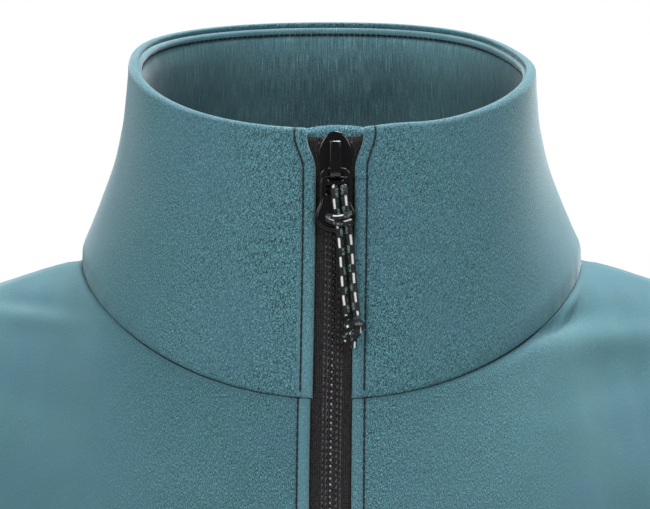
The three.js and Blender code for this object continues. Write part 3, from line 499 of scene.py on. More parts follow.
def run_both_ways(points, axis):
    """Distances along the rows or columns of a grid, from its first line and from its last."""
    return run_along(points, axis), np.flip(run_along(np.flip(points, axis), axis), axis)


def to_ends(points):
    """Distance across a grid to the nearer of its two side edges."""
    return np.minimum(*run_both_ways(points, 1))


def grid_faces(ids, flip):
    a, b, c, d = ids[:-1, :-1], ids[:-1, 1:], ids[1:, 1:], ids[1:, :-1]
    faces = np.stack([a, b, c, d], -1).reshape(-1, 4)
    return faces[:, ::-1] if flip else faces


def wall_faces(rows, columns, closed, flip):
    """Quads of a closed wall between an outer and an inner grid, outer points first."""
    ids = np.arange(2 * rows * columns).reshape(2, rows, columns)
    if closed:
        ids = np.concatenate([ids, ids[..., :1]], 2)
    outer, inner = ids
    sides = [
        grid_faces(outer, flip),
        grid_faces(inner, not flip),
        grid_faces(np.stack([inner[0], outer[0]]), flip),
        grid_faces(np.stack([outer[-1], inner[-1]]), flip),
    ]
    if not closed:
        sides.append(grid_faces(np.stack([inner[:, 0], outer[:, 0]], 1), flip))
        sides.append(grid_faces(np.stack([outer[:, -1], inner[:, -1]], 1), flip))
    return np.concatenate(sides)


def rounding(distance, radius):
    """How far a wall's face sinks near its edge, for a round edge of a radius."""
    left = radius - np.clip(distance, 0, radius)
    return radius - np.sqrt(radius * radius - left * left)


def add_wall(name, outer, inner, across, along, closed=False, flip=False):
    """The closed wall between two grids, with its places across and along the cloth."""
    points = np.concatenate([outer.reshape(-1, 3), inner.reshape(-1, 3)])
    coords = np.concatenate([vec(across, along, 0).reshape(-1, 3)] * 2)
    return add_mesh(name, points, wall_faces(*outer.shape[:2], closed, flip), coords)


def cloth_wall(name, points, relief, edge, thick=CLOTH, depth=0, closed=False, flip=False, places=None):
    """A closed cloth wall under a grid of points, its outer face moved out by the relief."""
    normals = grid_normals(points, closed) * (-1 if flip else 1)
    sink = rounding(edge, thick / 2)
    outer = points + normals * each(relief - depth - sink)
    inner = points + normals * each(relief - depth - thick + sink)
    across, along = places or (run_along(points, 1), run_along(points, 0))
    return add_wall(name, outer, inner, across, along, closed, flip), outer, normals


def line_path(points, normals):
    """A line on the cloth with its outward directions."""
    return Group(points=points, normals=normals, run=run_along(points[:, None], 0)[:, 0])


def on_path(path, at):
    point = np.stack([np.interp(at, path.run, path.points[:, k]) for k in range(3)], -1)
    normal = np.stack([np.interp(at, path.run, path.normals[:, k]) for k in range(3)], -1)
    return point, unit(normal)


# ---- Sewing ----
STITCH_RINGS = table(
    "along width lift",
    (0, 0.7, -0.25),
    (0.14, 0.92, -0.08),
    (0.5, 1, 0),
    (0.86, 0.92, -0.08),
    (1, 0.7, -0.25),
)
STITCH_SIDES = 6


def stitch_row(path, length, gap, radius, lift=0.0, start=0.0, end=0.0):
    """Points and faces of one row of thread stitches along a path, each end dipping into the cloth."""
    first = np.arange(start, path.run[-1] - end - length, length + gap)
    rings = STITCH_RINGS["along"][:, None]
    centre, normal = on_path(path, (first + rings * length).ravel())
    shape = (len(rings), len(first), 3)
    centre, normal = centre.reshape(shape), normal.reshape(shape)
    ahead = unit(centre[-1] - centre[0])
    beside = unit(np.cross(ahead, normal[2]))
    angles = np.arange(STITCH_SIDES) * TURN / STITCH_SIDES
    width = STITCH_RINGS["width"][:, None, None, None] * radius
    out = normal[..., None, :] * (np.sin(angles)[:, None] * width)
    side = beside[None, :, None, :] * (np.cos(angles)[:, None] * width)
    raised = normal * each(lift + STITCH_RINGS["lift"][:, None] * radius * 1.6)
    points = (centre + raised)[..., None, :] + out + side
    points = points.transpose(1, 0, 2, 3)  # stitch, ring, corner
    ids = np.arange(points.shape[1] * STITCH_SIDES).reshape(-1, STITCH_SIDES)
    skin = grid_faces(np.concatenate([ids, ids[:, :1]], 1), False).tolist()
    skin += [ids[0].tolist(), ids[-1, ::-1].tolist()]
    return points.reshape(len(first), -1, 3), skin


def joined(parts):
    """The points and faces of several parts as one."""
    points, faces, count = [], [], 0
    for places, skin in parts:
        points.append(places)
        faces += [[k + count for k in face] for face in skin]
        count += len(places)
    return np.concatenate(points), faces


def add_stitches(name, rows):
    """One object of several stitch rows."""
    piece = add_mesh(name, *joined([(place, skin) for places, skin in rows for place in places]))
    return piece


# ---- Rows and columns of the cloth grids ----
ROLL = np.array((0, 0.12, 0.4, 0.8, 1.2))  # distances over which a cut or folded edge is rounded
HEM_STITCHES = (17.5, 20.5)  # distances of sewn rows from the hem
HEM_FINE = 26  # up to which the rows near a hem are set close together
ZIP_STITCH = 4.2  # distance of the sewn line from the edge beside the zip
ZIP_COLUMNS = np.array(
    (*ROLL, 2, 2.8, 3.3, 3.75, ZIP_STITCH, 4.65, 5.1, 5.7, 6.8, 8.4, 10.5, 13, 16, 20)
)
STITCH_COLUMN = nearest(ZIP_COLUMNS, ZIP_STITCH)
SEAM_ROWS = np.array((7, 5.4, 4, 2.9, 2, 1.3, 0.8, 0.4, 0.15, 0))  # distances to a sewn edge
BODY_TOP_RUN = 215  # usual way from the chest to the top edge


def hem_rows(length, step):
    """Distances from a hem: close together at the edge and at its two stitch rows."""
    low = [*ROLL, 4, 8, 12, 15.5]
    beside = (-1.0, -0.5, 0.0, 0.5, 1.0)
    low += [at + near for at in HEM_STITCHES for near in beside]
    low += [23.5, HEM_FINE]
    count = round((length - HEM_FINE) / step)
    return np.array(low + list(np.linspace(HEM_FINE, length, count + 1)[1:]))


BODY_UPS = np.concatenate(
    [
        hem_rows(CHEST_Z - HEM_Z, 5.6) / (CHEST_Z - HEM_Z),
        1 + np.linspace(0, 1 - SEAM_ROWS[0] / BODY_TOP_RUN, 80)[1:-1],
        2 - SEAM_ROWS / BODY_TOP_RUN,
    ]
)
SIDE_TURNS = np.array((4, 2.6, 1.6, 0.9, 0.45, 0.18, 0))  # degrees to a side edge
JUST_BEHIND = 90.001  # turn at the back's side edge
NECK_TURN = 90 * NECK_SHARE


def spread(start, stop, count):
    """Even steps between two columns of numbers, without the first."""
    share = np.linspace(0, 1, count + 1)[1:]
    return start + (stop - start) * share


def hem_relief(run):
    """A turned-up hem: a double layer below two sewn rows."""
    grooves = sum(bell((run - at) / 1.0) for at in HEM_STITCHES)
    return 0.5 * (1 - smoothstep(run, 19, 23)) - 0.55 * grooves + 0.12 * bell((run - 19) / 2)


def seam_relief(distance, deep, wide=1.9):
    """A plain seam: the cloth dips into it, over the rounded seam allowance inside."""
    return -deep * bell(distance / wide) + 0.35 * bell((distance - 6) / 4.5)


def neck_depth(points):
    """Depth of the neck seam's groove: full at the front and slight at the sides."""
    return mix(0.85, 0.12, smoothstep(np.abs(points[..., 0]), 48, 82))


def neck_edge(points, to_seam):
    """Distance to the neck seam, for an edge that is half rounded at the front and square at the sides."""
    return to_seam + mix(0.5, 1, smoothstep(np.abs(points[..., 0]), 66, 82))


def zip_edge_relief(across, along):
    """The turned edge beside the zip: a soft band, its sewn line, and the puckers that cross it."""
    band = 0.3 * smoothstep(across, 0.2, 1.6) * (1 - smoothstep(across, 2.4, 4.0))
    groove = 0.75 * bell((across - ZIP_STITCH) / 1.0)
    pucker = ripple(along, (6.1, 0.2), (8.7, 1.4), (4.3, 2.6)) * bell((across - ZIP_STITCH) / 5.5)
    return band - groove + 0.1 * pucker


def seam_pucker(along, distance, phase):
    """Small puckers across a seam, which die out beside it."""
    waves = ripple(along, (7.9, phase), (12.7, phase + 1.1), (5.3, 2.3 * phase))
    return 0.16 * waves * bell(distance / 11)


# ---- Cloth pieces ----
def front_panel(side):
    """Grid of one front, from the zip to the side, and the turns of its points."""
    ups = BODY_UPS[:, None]
    gap = BODY_GAP.left if side > 0 else BODY_GAP.right
    beside = turn_at(body_point, gap + ZIP_COLUMNS[None, :], ups)
    neck = spread(beside[:, -1:], NECK_TURN, 22)
    shoulder = spread(np.full_like(beside[:, -1:], NECK_TURN), 90 - SIDE_TURNS[0], 30)
    edge = np.broadcast_to(90 - SIDE_TURNS[1:], (len(BODY_UPS), len(SIDE_TURNS) - 1))
    turns = np.concatenate([beside, neck, shoulder, edge], 1)
    return drifted(eased_body(side * turns, ups)), turns


def body_relief(points, to_side):
    """Hem, neck, shoulder and side seams of a body piece, and distances from hem, top and edge."""
    run, top = run_both_ways(points, 0)
    across = run_along(points, 1)
    relief = hem_relief(run) + seam_relief(to_side, 0.9) + seam_pucker(run, to_side, 0.7)
    relief = relief + seam_relief(top, neck_depth(points), 1.5)
    return relief + seam_pucker(across, top, 1.9), run, top, across


def neck_tuck(turns, top):
    """A shallow tuck under the neck seam on the wearer's left."""
    return 1.1 * bell((turns - 23) / 8) * bell((top - 2) / 4.5)


def make_front(side, name):
    """One front, the sewn line beside its zip, and its hem lines."""
    points, turns = front_panel(side)
    _, to_side = run_both_ways(points, 1)
    relief, run, top, across = body_relief(points, to_side)
    relief = relief + zip_edge_relief(across, run)
    if side > 0:
        relief = relief - neck_tuck(turns, top)
    edge = np.minimum(np.minimum(across, run), np.minimum(to_side + 0.5, neck_edge(points, top)))
    piece, outer, normals = cloth_wall(name, points, relief, edge, flip=side < 0)
    declare_cloth(name)
    seam = line_path(outer[:, STITCH_COLUMN], normals[:, STITCH_COLUMN])
    columns = slice(STITCH_COLUMN + 1, -2)
    hems = [hem_line(outer, normals, run, at, columns) for at in HEM_STITCHES]
    return piece, seam, hems


def hem_line(outer, normals, run, at, columns):
    """The line on a grid that runs at one distance from a hem or top edge."""
    row = nearest(run[:, run.shape[1] // 2], at)
    return line_path(outer[row, columns], normals[row, columns])


def make_back():
    """The back, from side to side, and its hem lines."""
    ups = BODY_UPS[:, None]
    half = np.concatenate(
        [
            90 + SIDE_TURNS[::-1],
            spread(90 + SIDE_TURNS[0], 180 - NECK_TURN, 28),
            spread(180 - NECK_TURN, 180, 30),
        ]
    )
    half[0] = JUST_BEHIND
    turns = np.concatenate([half, 360 - half[-2::-1]])[None, :]
    signed = np.where(turns > 180, turns - 360, turns) + 0 * ups
    points = eased_body(signed, ups)
    to_side = to_ends(points)
    relief, run, top, _ = body_relief(points, to_side)
    edge = np.minimum(run, np.minimum(to_side, top) + 0.5)
    piece, outer, normals = cloth_wall("back", points, relief, edge)
    declare_cloth("back")
    return piece, [hem_line(outer, normals, run, at, slice(2, -2)) for at in HEM_STITCHES]


def declare_cloth(node):
    """Hides the imported solid of a cloth piece."""
    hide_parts(node)


def sleeve_ring(along, turn):
    """Outer face of the sleeve below its head, and the direction in which it runs."""
    here = read_table(SLEEVE_SECTIONS, "along", along)
    ahead = read_table(SLEEVE_SECTIONS, "along", np.minimum(along + 0.02, 1))
    behind = read_table(SLEEVE_SECTIONS, "along", np.maximum(along - 0.02, 0))
    axis = unit(vec(ahead.x - behind.x, ahead.y - behind.y, ahead.z - behind.z))
    front = unit(np.array((0, -1.0, 0)) + axis * axis[..., 1:2])
    outer = np.cross(front, axis)
    outer = outer * np.where(outer[..., :1] < 0, -1, 1)
    push = 0
    for folds in (SLEEVE_FOLDS, SLEEVE_CREASES):
        for at_turn, at, across, length, depth in zip(*folds.values()):
            beside = bell(wrapped(turn - at_turn) / length)
            push = push + depth * bell((along - at) * SLEEVE_LENGTH / across) * beside
    push = push * smoothstep(along, 0, 0.1) * smoothstep(1 - along, 0, 0.06)
    wide = each((here.half_wide + push) * np.cos(np.radians(turn)))
    deep = each((here.half_deep + push) * np.sin(np.radians(turn)))
    return vec(here.x, here.y, here.z) + outer * wide + front * deep, axis


def sleeve_head(t, turn):
    """Outer face of the sleeve's head, from the armhole (0) to the upper arm (1)."""
    body_turn = np.where(turn <= 180, 90, JUST_BEHIND)
    start = body_point(body_turn, 1 + np.abs(1 - turn / 180))
    end, axis = sleeve_ring(0 * turn, turn)
    top, fore_aft = (1 + np.cos(np.radians(turn))) / 2, np.sin(np.radians(turn))
    leave = unit(vec(1, CAP_LEAVE.fore_aft * fore_aft, CAP_LEAVE.rise + 0 * turn))
    start = start + leave * SEAM_GAP
    leave = leave * each(mix(CAP_LEAVE.under, CAP_LEAVE.top, top))
    arrive = axis * each(mix(CAP_ARRIVE.under, CAP_ARRIVE.top, top))
    return hermite(t, start, leave, end, arrive)


SLEEVE_COLUMNS = 96
HEAD_ROWS = np.concatenate([[0, 0.004, 0.01, 0.02, 0.035, 0.055, 0.08], np.linspace(0.11, 1, 26)[:-1]])


def make_sleeve(side, name):
    """A sleeve from its armhole to the cuff, and its sewn lines."""
    turn = np.linspace(0, 360, SLEEVE_COLUMNS + 1)[:-1][None, :]
    head = sleeve_head(HEAD_ROWS[:, None, None], turn)
    cuff = hem_rows(SLEEVE_LENGTH, 4.4)[::-1] / SLEEVE_LENGTH
    arm, _ = sleeve_ring(1 - cuff[:, None], turn)
    points = np.concatenate([head, arm])
    points[..., 0] *= side
    run, to_cuff = run_both_ways(points, 0)
    around = run_along(points, 1)
    underarm = 0.7 * bell((turn - 180) / 2.4)
    relief = seam_relief(run, 0.9) + hem_relief(to_cuff) + seam_pucker(around, run, 2.7) - underarm
    edge = np.minimum(run + 0.5, to_cuff)
    piece, outer, normals = cloth_wall(name, points, relief, edge, closed=True, flip=side > 0)
    declare_cloth(name)
    loop = np.append(np.arange(SLEEVE_COLUMNS), 0)
    rows = [nearest(to_cuff[:, 0], at) for at in HEM_STITCHES]
    return piece, [line_path(outer[row, loop], normals[row, loop]) for row in rows]


# ---- Collar ----
COLLAR_RUN = 90  # usual height of the collar, for the spacing of its rows
COLLAR_UPS = np.concatenate(
    [SEAM_ROWS[::-1] / COLLAR_RUN, np.linspace(SEAM_ROWS[0] / COLLAR_RUN, 1, 58)[1:]]
)
RIM_FROM = 0.86  # share of the height from which the wall bends in to its rolled edge
RIM_SEAM = 166  # degrees round the roll at which the outer cloth meets the facing
RIM_STITCH = 3.6  # distance of the sewn line from that seam
RIM_SEWING = (1.75, 0.2, 0.42)  # length, gap and radius of its stitches


def collar_turns(beside, count):
    """Turns round the collar from the wearer's left front edge, past the back, to the right one."""
    last = beside[:, -1:]
    middle = spread(last, 360 - last, count)
    turns = np.concatenate([beside, middle, 360 - beside[:, -2::-1]], 1)
    return np.where(turns > 180, turns - 360, turns)


def collar_grid(first_gap, columns, count):
    """Outer face of the collar, its normals, its points on the rim, and its turns."""
    ups = COLLAR_UPS[:, None]
    beside = turn_at(collar_point, first_gap(ups) + columns[None, :], ups)
    turns = collar_turns(beside, count)
    points = drifted(collar_point(turns, ups))
    normals = grid_normals(points)
    crest = points[-1].copy()
    points[..., 2] -= WALL / 2 * smoothstep(ups, RIM_FROM, 1)
    return points, normals, crest, turns


def rim_row(crest, normals, angle, radius):
    """A row of the rolled edge at an angle round it, 0 at the outer face and 180 inside."""
    depth = WALL / 2 - radius * math.cos(math.radians(angle))
    rise = radius * math.sin(math.radians(angle)) - WALL / 2
    row = crest - normals * each(depth)
    row[..., 2] = crest[..., 2] + rise
    return row


def collar_relief(points, turns, run, around, across):
    """The collar's seam, zip edges and gentle swells, which level out towards the rim."""
    zip_edge = zip_edge_relief(across, run + 3)
    relief = seam_relief(run, neck_depth(points), 1.5) + seam_pucker(around, run, 0.4) + zip_edge
    swell = 0.5 * bell((run - 26) / 20) * ripple(around, (118, 0.4), (71, 2.1))
    hollow = 0.6 * bell((turns - 15) / 6) * bell((run - 6) / 4.5)
    fore = smoothstep(np.abs(around / around[0, -1] - 0.5), 0.2, 0.3)
    tucks = 0.12 * ripple(around, (1.7, 0.3), (2.3, 1.1)) * fore * bell((run - 1.8) / 1.6)
    relief = relief + swell * smoothstep(across, 4, 24) - hollow + tucks
    return mix(relief, zip_edge, smoothstep(COLLAR_UPS, 0.9, 1)[:, None])


def make_collar():
    """The collar's outer cloth with its rolled top edge, and the sewn lines beside its zip."""
    points, normals, crest, turns = collar_grid(collar_gap, ZIP_COLUMNS, 250)
    run, around, across = run_along(points, 0), run_along(points, 1), to_ends(points)
    relief = collar_relief(points, turns, run, around, across)
    sink = rounding(np.minimum(across, neck_edge(points, run)), CLOTH / 2)
    outer = points + normals * each(relief - sink)
    inner = points + normals * each(relief - CLOTH + sink)
    rolled = crest + normals[-1] * each(relief[-1])
    for angle in np.linspace(0, RIM_SEAM, 13)[1:]:
        tuck = 1.6 * smoothstep(angle, RIM_SEAM - 42, RIM_SEAM)
        row = rim_row(rolled, normals[-1], angle, WALL / 2 - tuck - sink[-1])
        outer = np.concatenate([outer, row[None]])
        inner = np.concatenate([inner, rim_row(rolled, normals[-1], angle, 0.15)[None]])
    around = run_along(outer, 1)
    even = around / around[:, -1:] * around[0, -1]
    piece = add_wall("collar", outer, inner, even, run_along(outer, 0))
    declare_cloth("collar")
    normals = grid_normals(outer)
    columns = (STITCH_COLUMN, -1 - STITCH_COLUMN)
    return piece, [line_path(outer[:-4, k], normals[:-4, k]) for k in columns]


def make_facing():
    """The collar's inner layer, up to its seam with the outer cloth on the rolled edge."""
    columns = np.array((0, 0.2, 0.6, 1.2, 2.5, 5))
    points, normals, crest, turns = collar_grid(lambda ups: TAPE.outer + 0 * ups, columns, 200)
    run, to_top = run_both_ways(points, 0)
    around = run_along(points, 1)
    relief = facing_relief(to_top + math.radians(180 - RIM_SEAM) * WALL / 2, around)
    sink = rounding(np.minimum(to_ends(points), run), CLOTH / 2)
    face = points - normals * each(WALL + relief - sink)
    behind = points - normals * each(WALL - CLOTH + relief + sink)
    for angle in np.linspace(180, RIM_SEAM + 2, 6)[1:]:
        distance = math.radians(angle - RIM_SEAM) * WALL / 2
        rise = facing_relief(np.full(around[-1].shape, distance), around[-1])
        tuck = 1.5 * bell((angle - RIM_SEAM) / 12)
        row = rim_row(crest, normals[-1], angle, WALL / 2 - tuck + rise)
        face = np.concatenate([face, row[None]])
        behind = np.concatenate([behind, rim_row(crest, normals[-1], angle, 0.3)[None]])
    ribs = turns[:1] % 360 * (around[-1, -1] / 360)
    run, down = run_both_ways(face, 0)
    piece = add_wall("collar_facing", face, behind, ribs, run, flip=True)
    declare_cloth("collar_facing")
    return piece, hem_line(face, -grid_normals(face), down, RIM_STITCH, slice(4, -4))


def facing_relief(to_seam, around):
    """The turned-in band below the rim's seam, its sewn line, and the softly filled cloth below."""
    band = 0.45 * smoothstep(to_seam, 0.2, 1.2) * (1 - smoothstep(to_seam, 1.6, RIM_STITCH))
    groove = 0.9 * bell((to_seam - RIM_STITCH) / 1.0)
    pucker = 0.14 * ripple(around, (5.9, 0.5), (8.3, 2.0), (12.1, 0.9)) * bell((to_seam - RIM_STITCH) / 5)
    return band - groove + pucker + 0.3 * bell((to_seam - 9) / 5)


# ---- Zip ----
ZIP_UPS = Group(body=np.linspace(0, 1.965, 260), collar=np.linspace(0.04, 1, 34))
NECK_FRONT, COLLAR_AXIS = neck_point(0), collar_point(0, 1) - collar_point(0, 0)
COLLAR_LEAN = math.atan2(COLLAR_AXIS[1], COLLAR_AXIS[2])
AXIS_UP = (AXIS.height - NECK_FRONT[2]) / COLLAR_AXIS[2]
LEAN_OUT = np.array((0, -math.cos(COLLAR_LEAN), math.sin(COLLAR_LEAN)))
HINGE = drifted(collar_point(0, AXIS_UP) + LEAN_OUT * AXIS.out)
CHAIN_PITCH = 2.2
PARTED = 3.0  # how far each tape's edge moves aside above the slider
SEWN_AT = (1.7, 3.0)  # sewn rows beside the zip's middle
HEAD = Group(length=0.85, radius=0.42, aside=0.2, depth=1.95)
TAPE_SEWING = (1.45, 0.75, 0.19)  # length, gap and radius of its stitches


def zip_grid(sides, top=1.0):
    """Cloth surface at side distances from the middle, from the hem up the collar's front."""
    stand = ZIP_UPS.collar[ZIP_UPS.collar <= top + 1e-9]
    halves = ((body_point, ZIP_UPS.body[:, None]), (collar_point, stand[:, None]))
    return np.concatenate([surface(turn_at(surface, sides[None, :], ups), ups) for surface, ups in halves])


def open_share(z):
    """How far the tapes have parted: 0 below the slider's wedge and 1 at its top."""
    return smoothstep(z, HINGE[2] + 2, HINGE[2] + SLIDER.top - 2)


def make_tape(side, name):
    """One side's woven tape with its swollen edge, and its two sewn lines."""
    close = (0.7, 1.1, 1.5, 1.9, 2.3, 2.7, 3.1, 3.5, 4.2, 5.5, 7.5, 10, 12.5)
    sides = np.array((TAPE.inner, *close, TAPE.outer))
    grid = zip_grid(side * sides, 0.985)
    swell = TAPE.rise * (1 - smoothstep(sides, 2.2, TAPE.swell))[None, :]
    seams = sum(bell((sides - at) / 0.5) for at in SEWN_AT)[None, :]
    run = run_along(grid, 0)
    relief = swell - 0.16 * seams + 0.05 * ripple(run, (CHAIN_PITCH, 0)) * (swell > 0.1)
    parted = PARTED * side * open_share(grid[..., 2]) * (1 - smoothstep(sides, 3, 12))[None, :]
    grid = drifted(grid + vec(parted, 0, 0))
    edge = np.minimum((sides - TAPE.inner)[None, :], run) + 0 * run
    places = side * sides[None, :], run
    piece, outer, normals = cloth_wall(
        name, grid, relief, edge, TAPE.thick, TAPE.front, flip=side < 0, places=places
    )
    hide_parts(name)
    below = grid[:, 0, 2] < HINGE[2] + 1
    lines = [line_path(outer[below][:, k], normals[below][:, k]) for k in (4, 7)]
    return piece, lines


def make_guard():
    """The flap behind the zip, with a rounded top edge."""
    sides = np.linspace(-GUARD.half, GUARD.half, 41)
    grid = drifted(zip_grid(sides))
    arch = GUARD.arch * np.maximum(0, 1 - (sides / 12) ** 2)
    grid[-10:, :, 2] += np.linspace(0, 1, 10)[:, None] ** 1.5 * arch
    run, to_top = run_both_ways(grid, 0)
    aside = GUARD.half - np.abs(sides)[None, :]
    relief = 0.35 * bell((to_top - 1.4) / 1.2) - 0.3 * bell((to_top - GUARD.stitch) / 1.1)
    relief = relief + 0.25 * ripple(run, (61, 0.4), (37, 1.7)) * smoothstep(to_top, 8, 30)
    edge = np.minimum(np.minimum(to_top, run), aside)
    piece, outer, normals = cloth_wall("zip_guard", grid, relief, edge, GUARD.thick, GUARD.front)
    declare_cloth("zip_guard")
    return piece, hem_line(outer, normals, to_top, GUARD.stitch, slice(3, -3))


def make_coil():
    """The heads of the coil, which come in turn from the two sides: the near row and the far one."""
    grid = zip_grid(np.array((-0.6, 0.0, 0.6)), AXIS_UP)
    normals = grid_normals(grid)
    grid = drifted(grid)
    rows = []
    for side, depth in ((-1, HEAD.depth), (1, HEAD.depth + 0.35)):
        middle = grid[:, 1] - normals[:, 1] * depth
        path = line_path(middle + np.array((side * HEAD.aside, 0, 0)), normals[:, 1])
        start = BOX.height + 2 + (CHAIN_PITCH / 2 if side > 0 else 0)
        gap = CHAIN_PITCH - HEAD.length
        rows.append(stitch_row(path, HEAD.length, gap, HEAD.radius, start=start, end=1))
    return rows


# ---- Solid parts in the zip's own frame: side, out and up from a hinge line ----
def cut_plate(outlines, thick, bevel):
    """Points and faces of a plate with rounded edges; outlines after the first are holes."""
    curve = bpy.data.curves.new("plate", "CURVE")
    curve.dimensions, curve.fill_mode = "2D", "BOTH"
    curve.extrude, curve.bevel_depth, curve.bevel_resolution = thick / 2 - bevel, bevel, 3
    curve.offset = -bevel
    for outline in outlines:
        spline = curve.splines.new("POLY")
        spline.points.add(len(outline) - 1)
        spline.use_cyclic_u = True
        for point, (x, y) in zip(spline.points, outline):
            point.co = (x, y, 0, 1)
    shape = bpy.data.objects.new("plate", curve)
    mesh = bpy.data.meshes.new_from_object(shape)
    points = np.array([vertex.co[:] for vertex in mesh.vertices])
    faces = [list(polygon.vertices) for polygon in mesh.polygons]
    bpy.data.objects.remove(shape)
    bpy.data.curves.remove(curve)
    bpy.data.meshes.remove(mesh)
    return points, faces


def upright(part, out):
    """A flat part stood up in the zip's frame, its middle at a distance out."""
    points, faces = part
    return vec(points[:, 0], out - AXIS.out + points[:, 2], points[:, 1]), faces


def place_parts(name, parts, origin, lean, body):
    """One object of several parts given as side, out and up from the hinge line."""
    points, faces = joined(parts)
    piece = add_mesh(name, from_zip(points, origin, lean), faces, body=body)
    piece.data.set_sharp_from_angle(angle=math.radians(50))
    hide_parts(name)
    return piece


def from_zip(local, origin, lean):
    """Points given as side, out and up, in the frame."""
    side, out, up = np.moveaxis(local, -1, 0)
    y = -out * math.cos(lean) + up * math.sin(lean)
    z = out * math.sin(lean) + up * math.cos(lean)
    return vec(side, y, z) + origin


def arc(centre, radii, first, last, count):
    angles = np.radians(np.linspace(first, last, count))
    return [(centre[0] + radii[0] * math.cos(a), centre[1] + radii[1] * math.sin(a)) for a in angles]


def mirrored(half):
    """A closed outline from its right half, which runs from the bottom to the top."""
    return list(half) + [(-x, y) for x, y in reversed(half) if abs(x) > 1e-6]


def slider_outline():
    """Arched crown, round shoulders and narrowing lower end."""
    foot = arc((SLIDER.bottom_half - 1.2, SLIDER.bottom + 1.2), (1.2, 1.2), -90, 0, 5)
    shoulder = arc((0, 5.2), (SLIDER.half, SLIDER.top - 5.2), 0, 90, 16)
    return mirrored([(0, SLIDER.bottom), *foot, *shoulder])


def box_outline(half, low, high, corner):
    lower = arc((half - corner, low + corner), (corner, corner), -90, 0, 5)
    upper = arc((half - corner, high - corner), (corner, corner), 0, 90, 5)
    return mirrored([(0, low), *lower, *upper, (0, high)])


def plates(outline, core):
    """A front and a back plate joined by a core."""
    return [
        upright(cut_plate([outline], PLATE.thick, 0.42), -PLATE.front - PLATE.thick / 2),
        upright(cut_plate([outline], 1, 0.3), -PLATE.back - 0.5),
        upright(cut_plate([core], 2.2, 0.1), -PLATE.front - PLATE.thick - 0.9),
    ]


def bridge_part():
    """The bridge over the pull's bar, cut in side view and given its width."""
    rear = -PLATE.front - 0.3 - AXIS.out
    outer, nose = BRIDGE.inner + BRIDGE.thick, BRIDGE.nose
    over = arc((0, 0), (nose, outer), 180, 90, 9)
    top = BRIDGE.top
    crest = [(up, out) for out, up in arc((outer - 2, top - 1), (2, 1), 0, 90, 12)]
    inside = [(BRIDGE.foot - 3.4, rear), (top - 2.4, 0.2), (top - 3.2, BRIDGE.inner), (0, BRIDGE.inner)]
    under = arc((0, 0), (1.3, BRIDGE.inner), 100, 180, 6)
    outline = [(-nose, rear), *over, *crest, (BRIDGE.foot, rear), *inside, *under, (-1.3, rear)]
    points, faces = cut_plate([outline], 2 * BRIDGE.half, 0.52)
    return vec(points[:, 2], points[:, 1], points[:, 0]), faces


def pull_outline(inset=0.0):
    """Keyhole outline: a straight stem that swells into a round end."""
    stem, end = PULL.stem - inset, PULL.end - inset
    top, low = PULL.bar - inset, -PULL.end_centre
    drop = PULL.end_drop - inset + 0.2
    bottom = arc((0, low), (end, drop), -90, 12, 18)
    t = np.linspace(0, 1, 12)[1:]
    start, finish = np.array(bottom[-1]), np.array((stem, -PULL.stem_end))
    waist = hermite(t[:, None], start, np.array((-1.0, 5.5)), finish, np.array((0.0, 5.5)))
    corner = arc((stem - 2.6, top - 2.4), (2.6, 2.4), 0, 90, 8)
    return mirrored([*bottom, *map(tuple, waist), *corner, (0, top)])


def make_slider():
    """The slider's two plates, the wedge between them, and its bridge."""
    wedge = box_outline(WEDGE.half, WEDGE.bottom, WEDGE.top, 0.8)
    parts = [*plates(slider_outline(), wedge), bridge_part()]
    return place_parts("zip_slider", parts, HINGE, COLLAR_LEAN, "jacket")


def make_pull():
    """The flat pull tab with its slot and hole, and a raised line round it."""
    holes = [box_outline(hole.half, hole.bottom, hole.top, 0.7) for hole in (PULL_SLOT, PULL_HOLE)]
    flat = upright(cut_plate([pull_outline(), *holes], PULL.thick, 0.35), AXIS.out)
    rim = np.array([(x, PULL.thick / 2 + 0.02, y) for x, y in pull_outline(1.0) if y < -2])
    start = int(np.argmax(rim[:, 2]))
    ridge = tube(np.roll(rim, -start, 0), 0.3, 8, 0.5, fixed=(0, 1, 0))[:2]
    return place_parts("zip_pull", [flat, ridge], HINGE, COLLAR_LEAN, "pull")


def make_box():
    """The box in which the chain ends at the hem."""
    front, above = body_point(0, 0), body_point(0, 0.05)
    lean = math.atan2(above[1] - front[1], above[2] - front[2])
    origin = np.array((0, front[1] - AXIS.out, front[2] + BOX.rise))
    outline = box_outline(BOX.half, 0, BOX.height, 1.2)
    core = box_outline(2.7, 0.4, BOX.height - 0.4, 0.6)
    ridge = upright(cut_plate([box_outline(2.9, 2, BOX.height - 2, 0.9)], 0.8, 0.2), -PLATE.front)
    return place_parts("zip_box", [*plates(outline, core), ridge], origin, lean, "jacket")


# ---- Pull cord ----
CORD_RADIUS = 1.4
BRAID = 0.05  # share of the radius by which crossing yarns stand out


def smooth_line(points, step):
    """A line through points at even steps."""
    points = np.asarray(points, float)
    run = run_along(points[:, None], 0)[:, 0]
    keys = {"run": run, "x": points[:, 0], "y": points[:, 1], "z": points[:, 2]}
    at = np.linspace(0, run[-1], max(3, round(run[-1] / step) + 1))
    found = read_table(keys, "run", at)
    return vec(found.x, found.y, found.z)


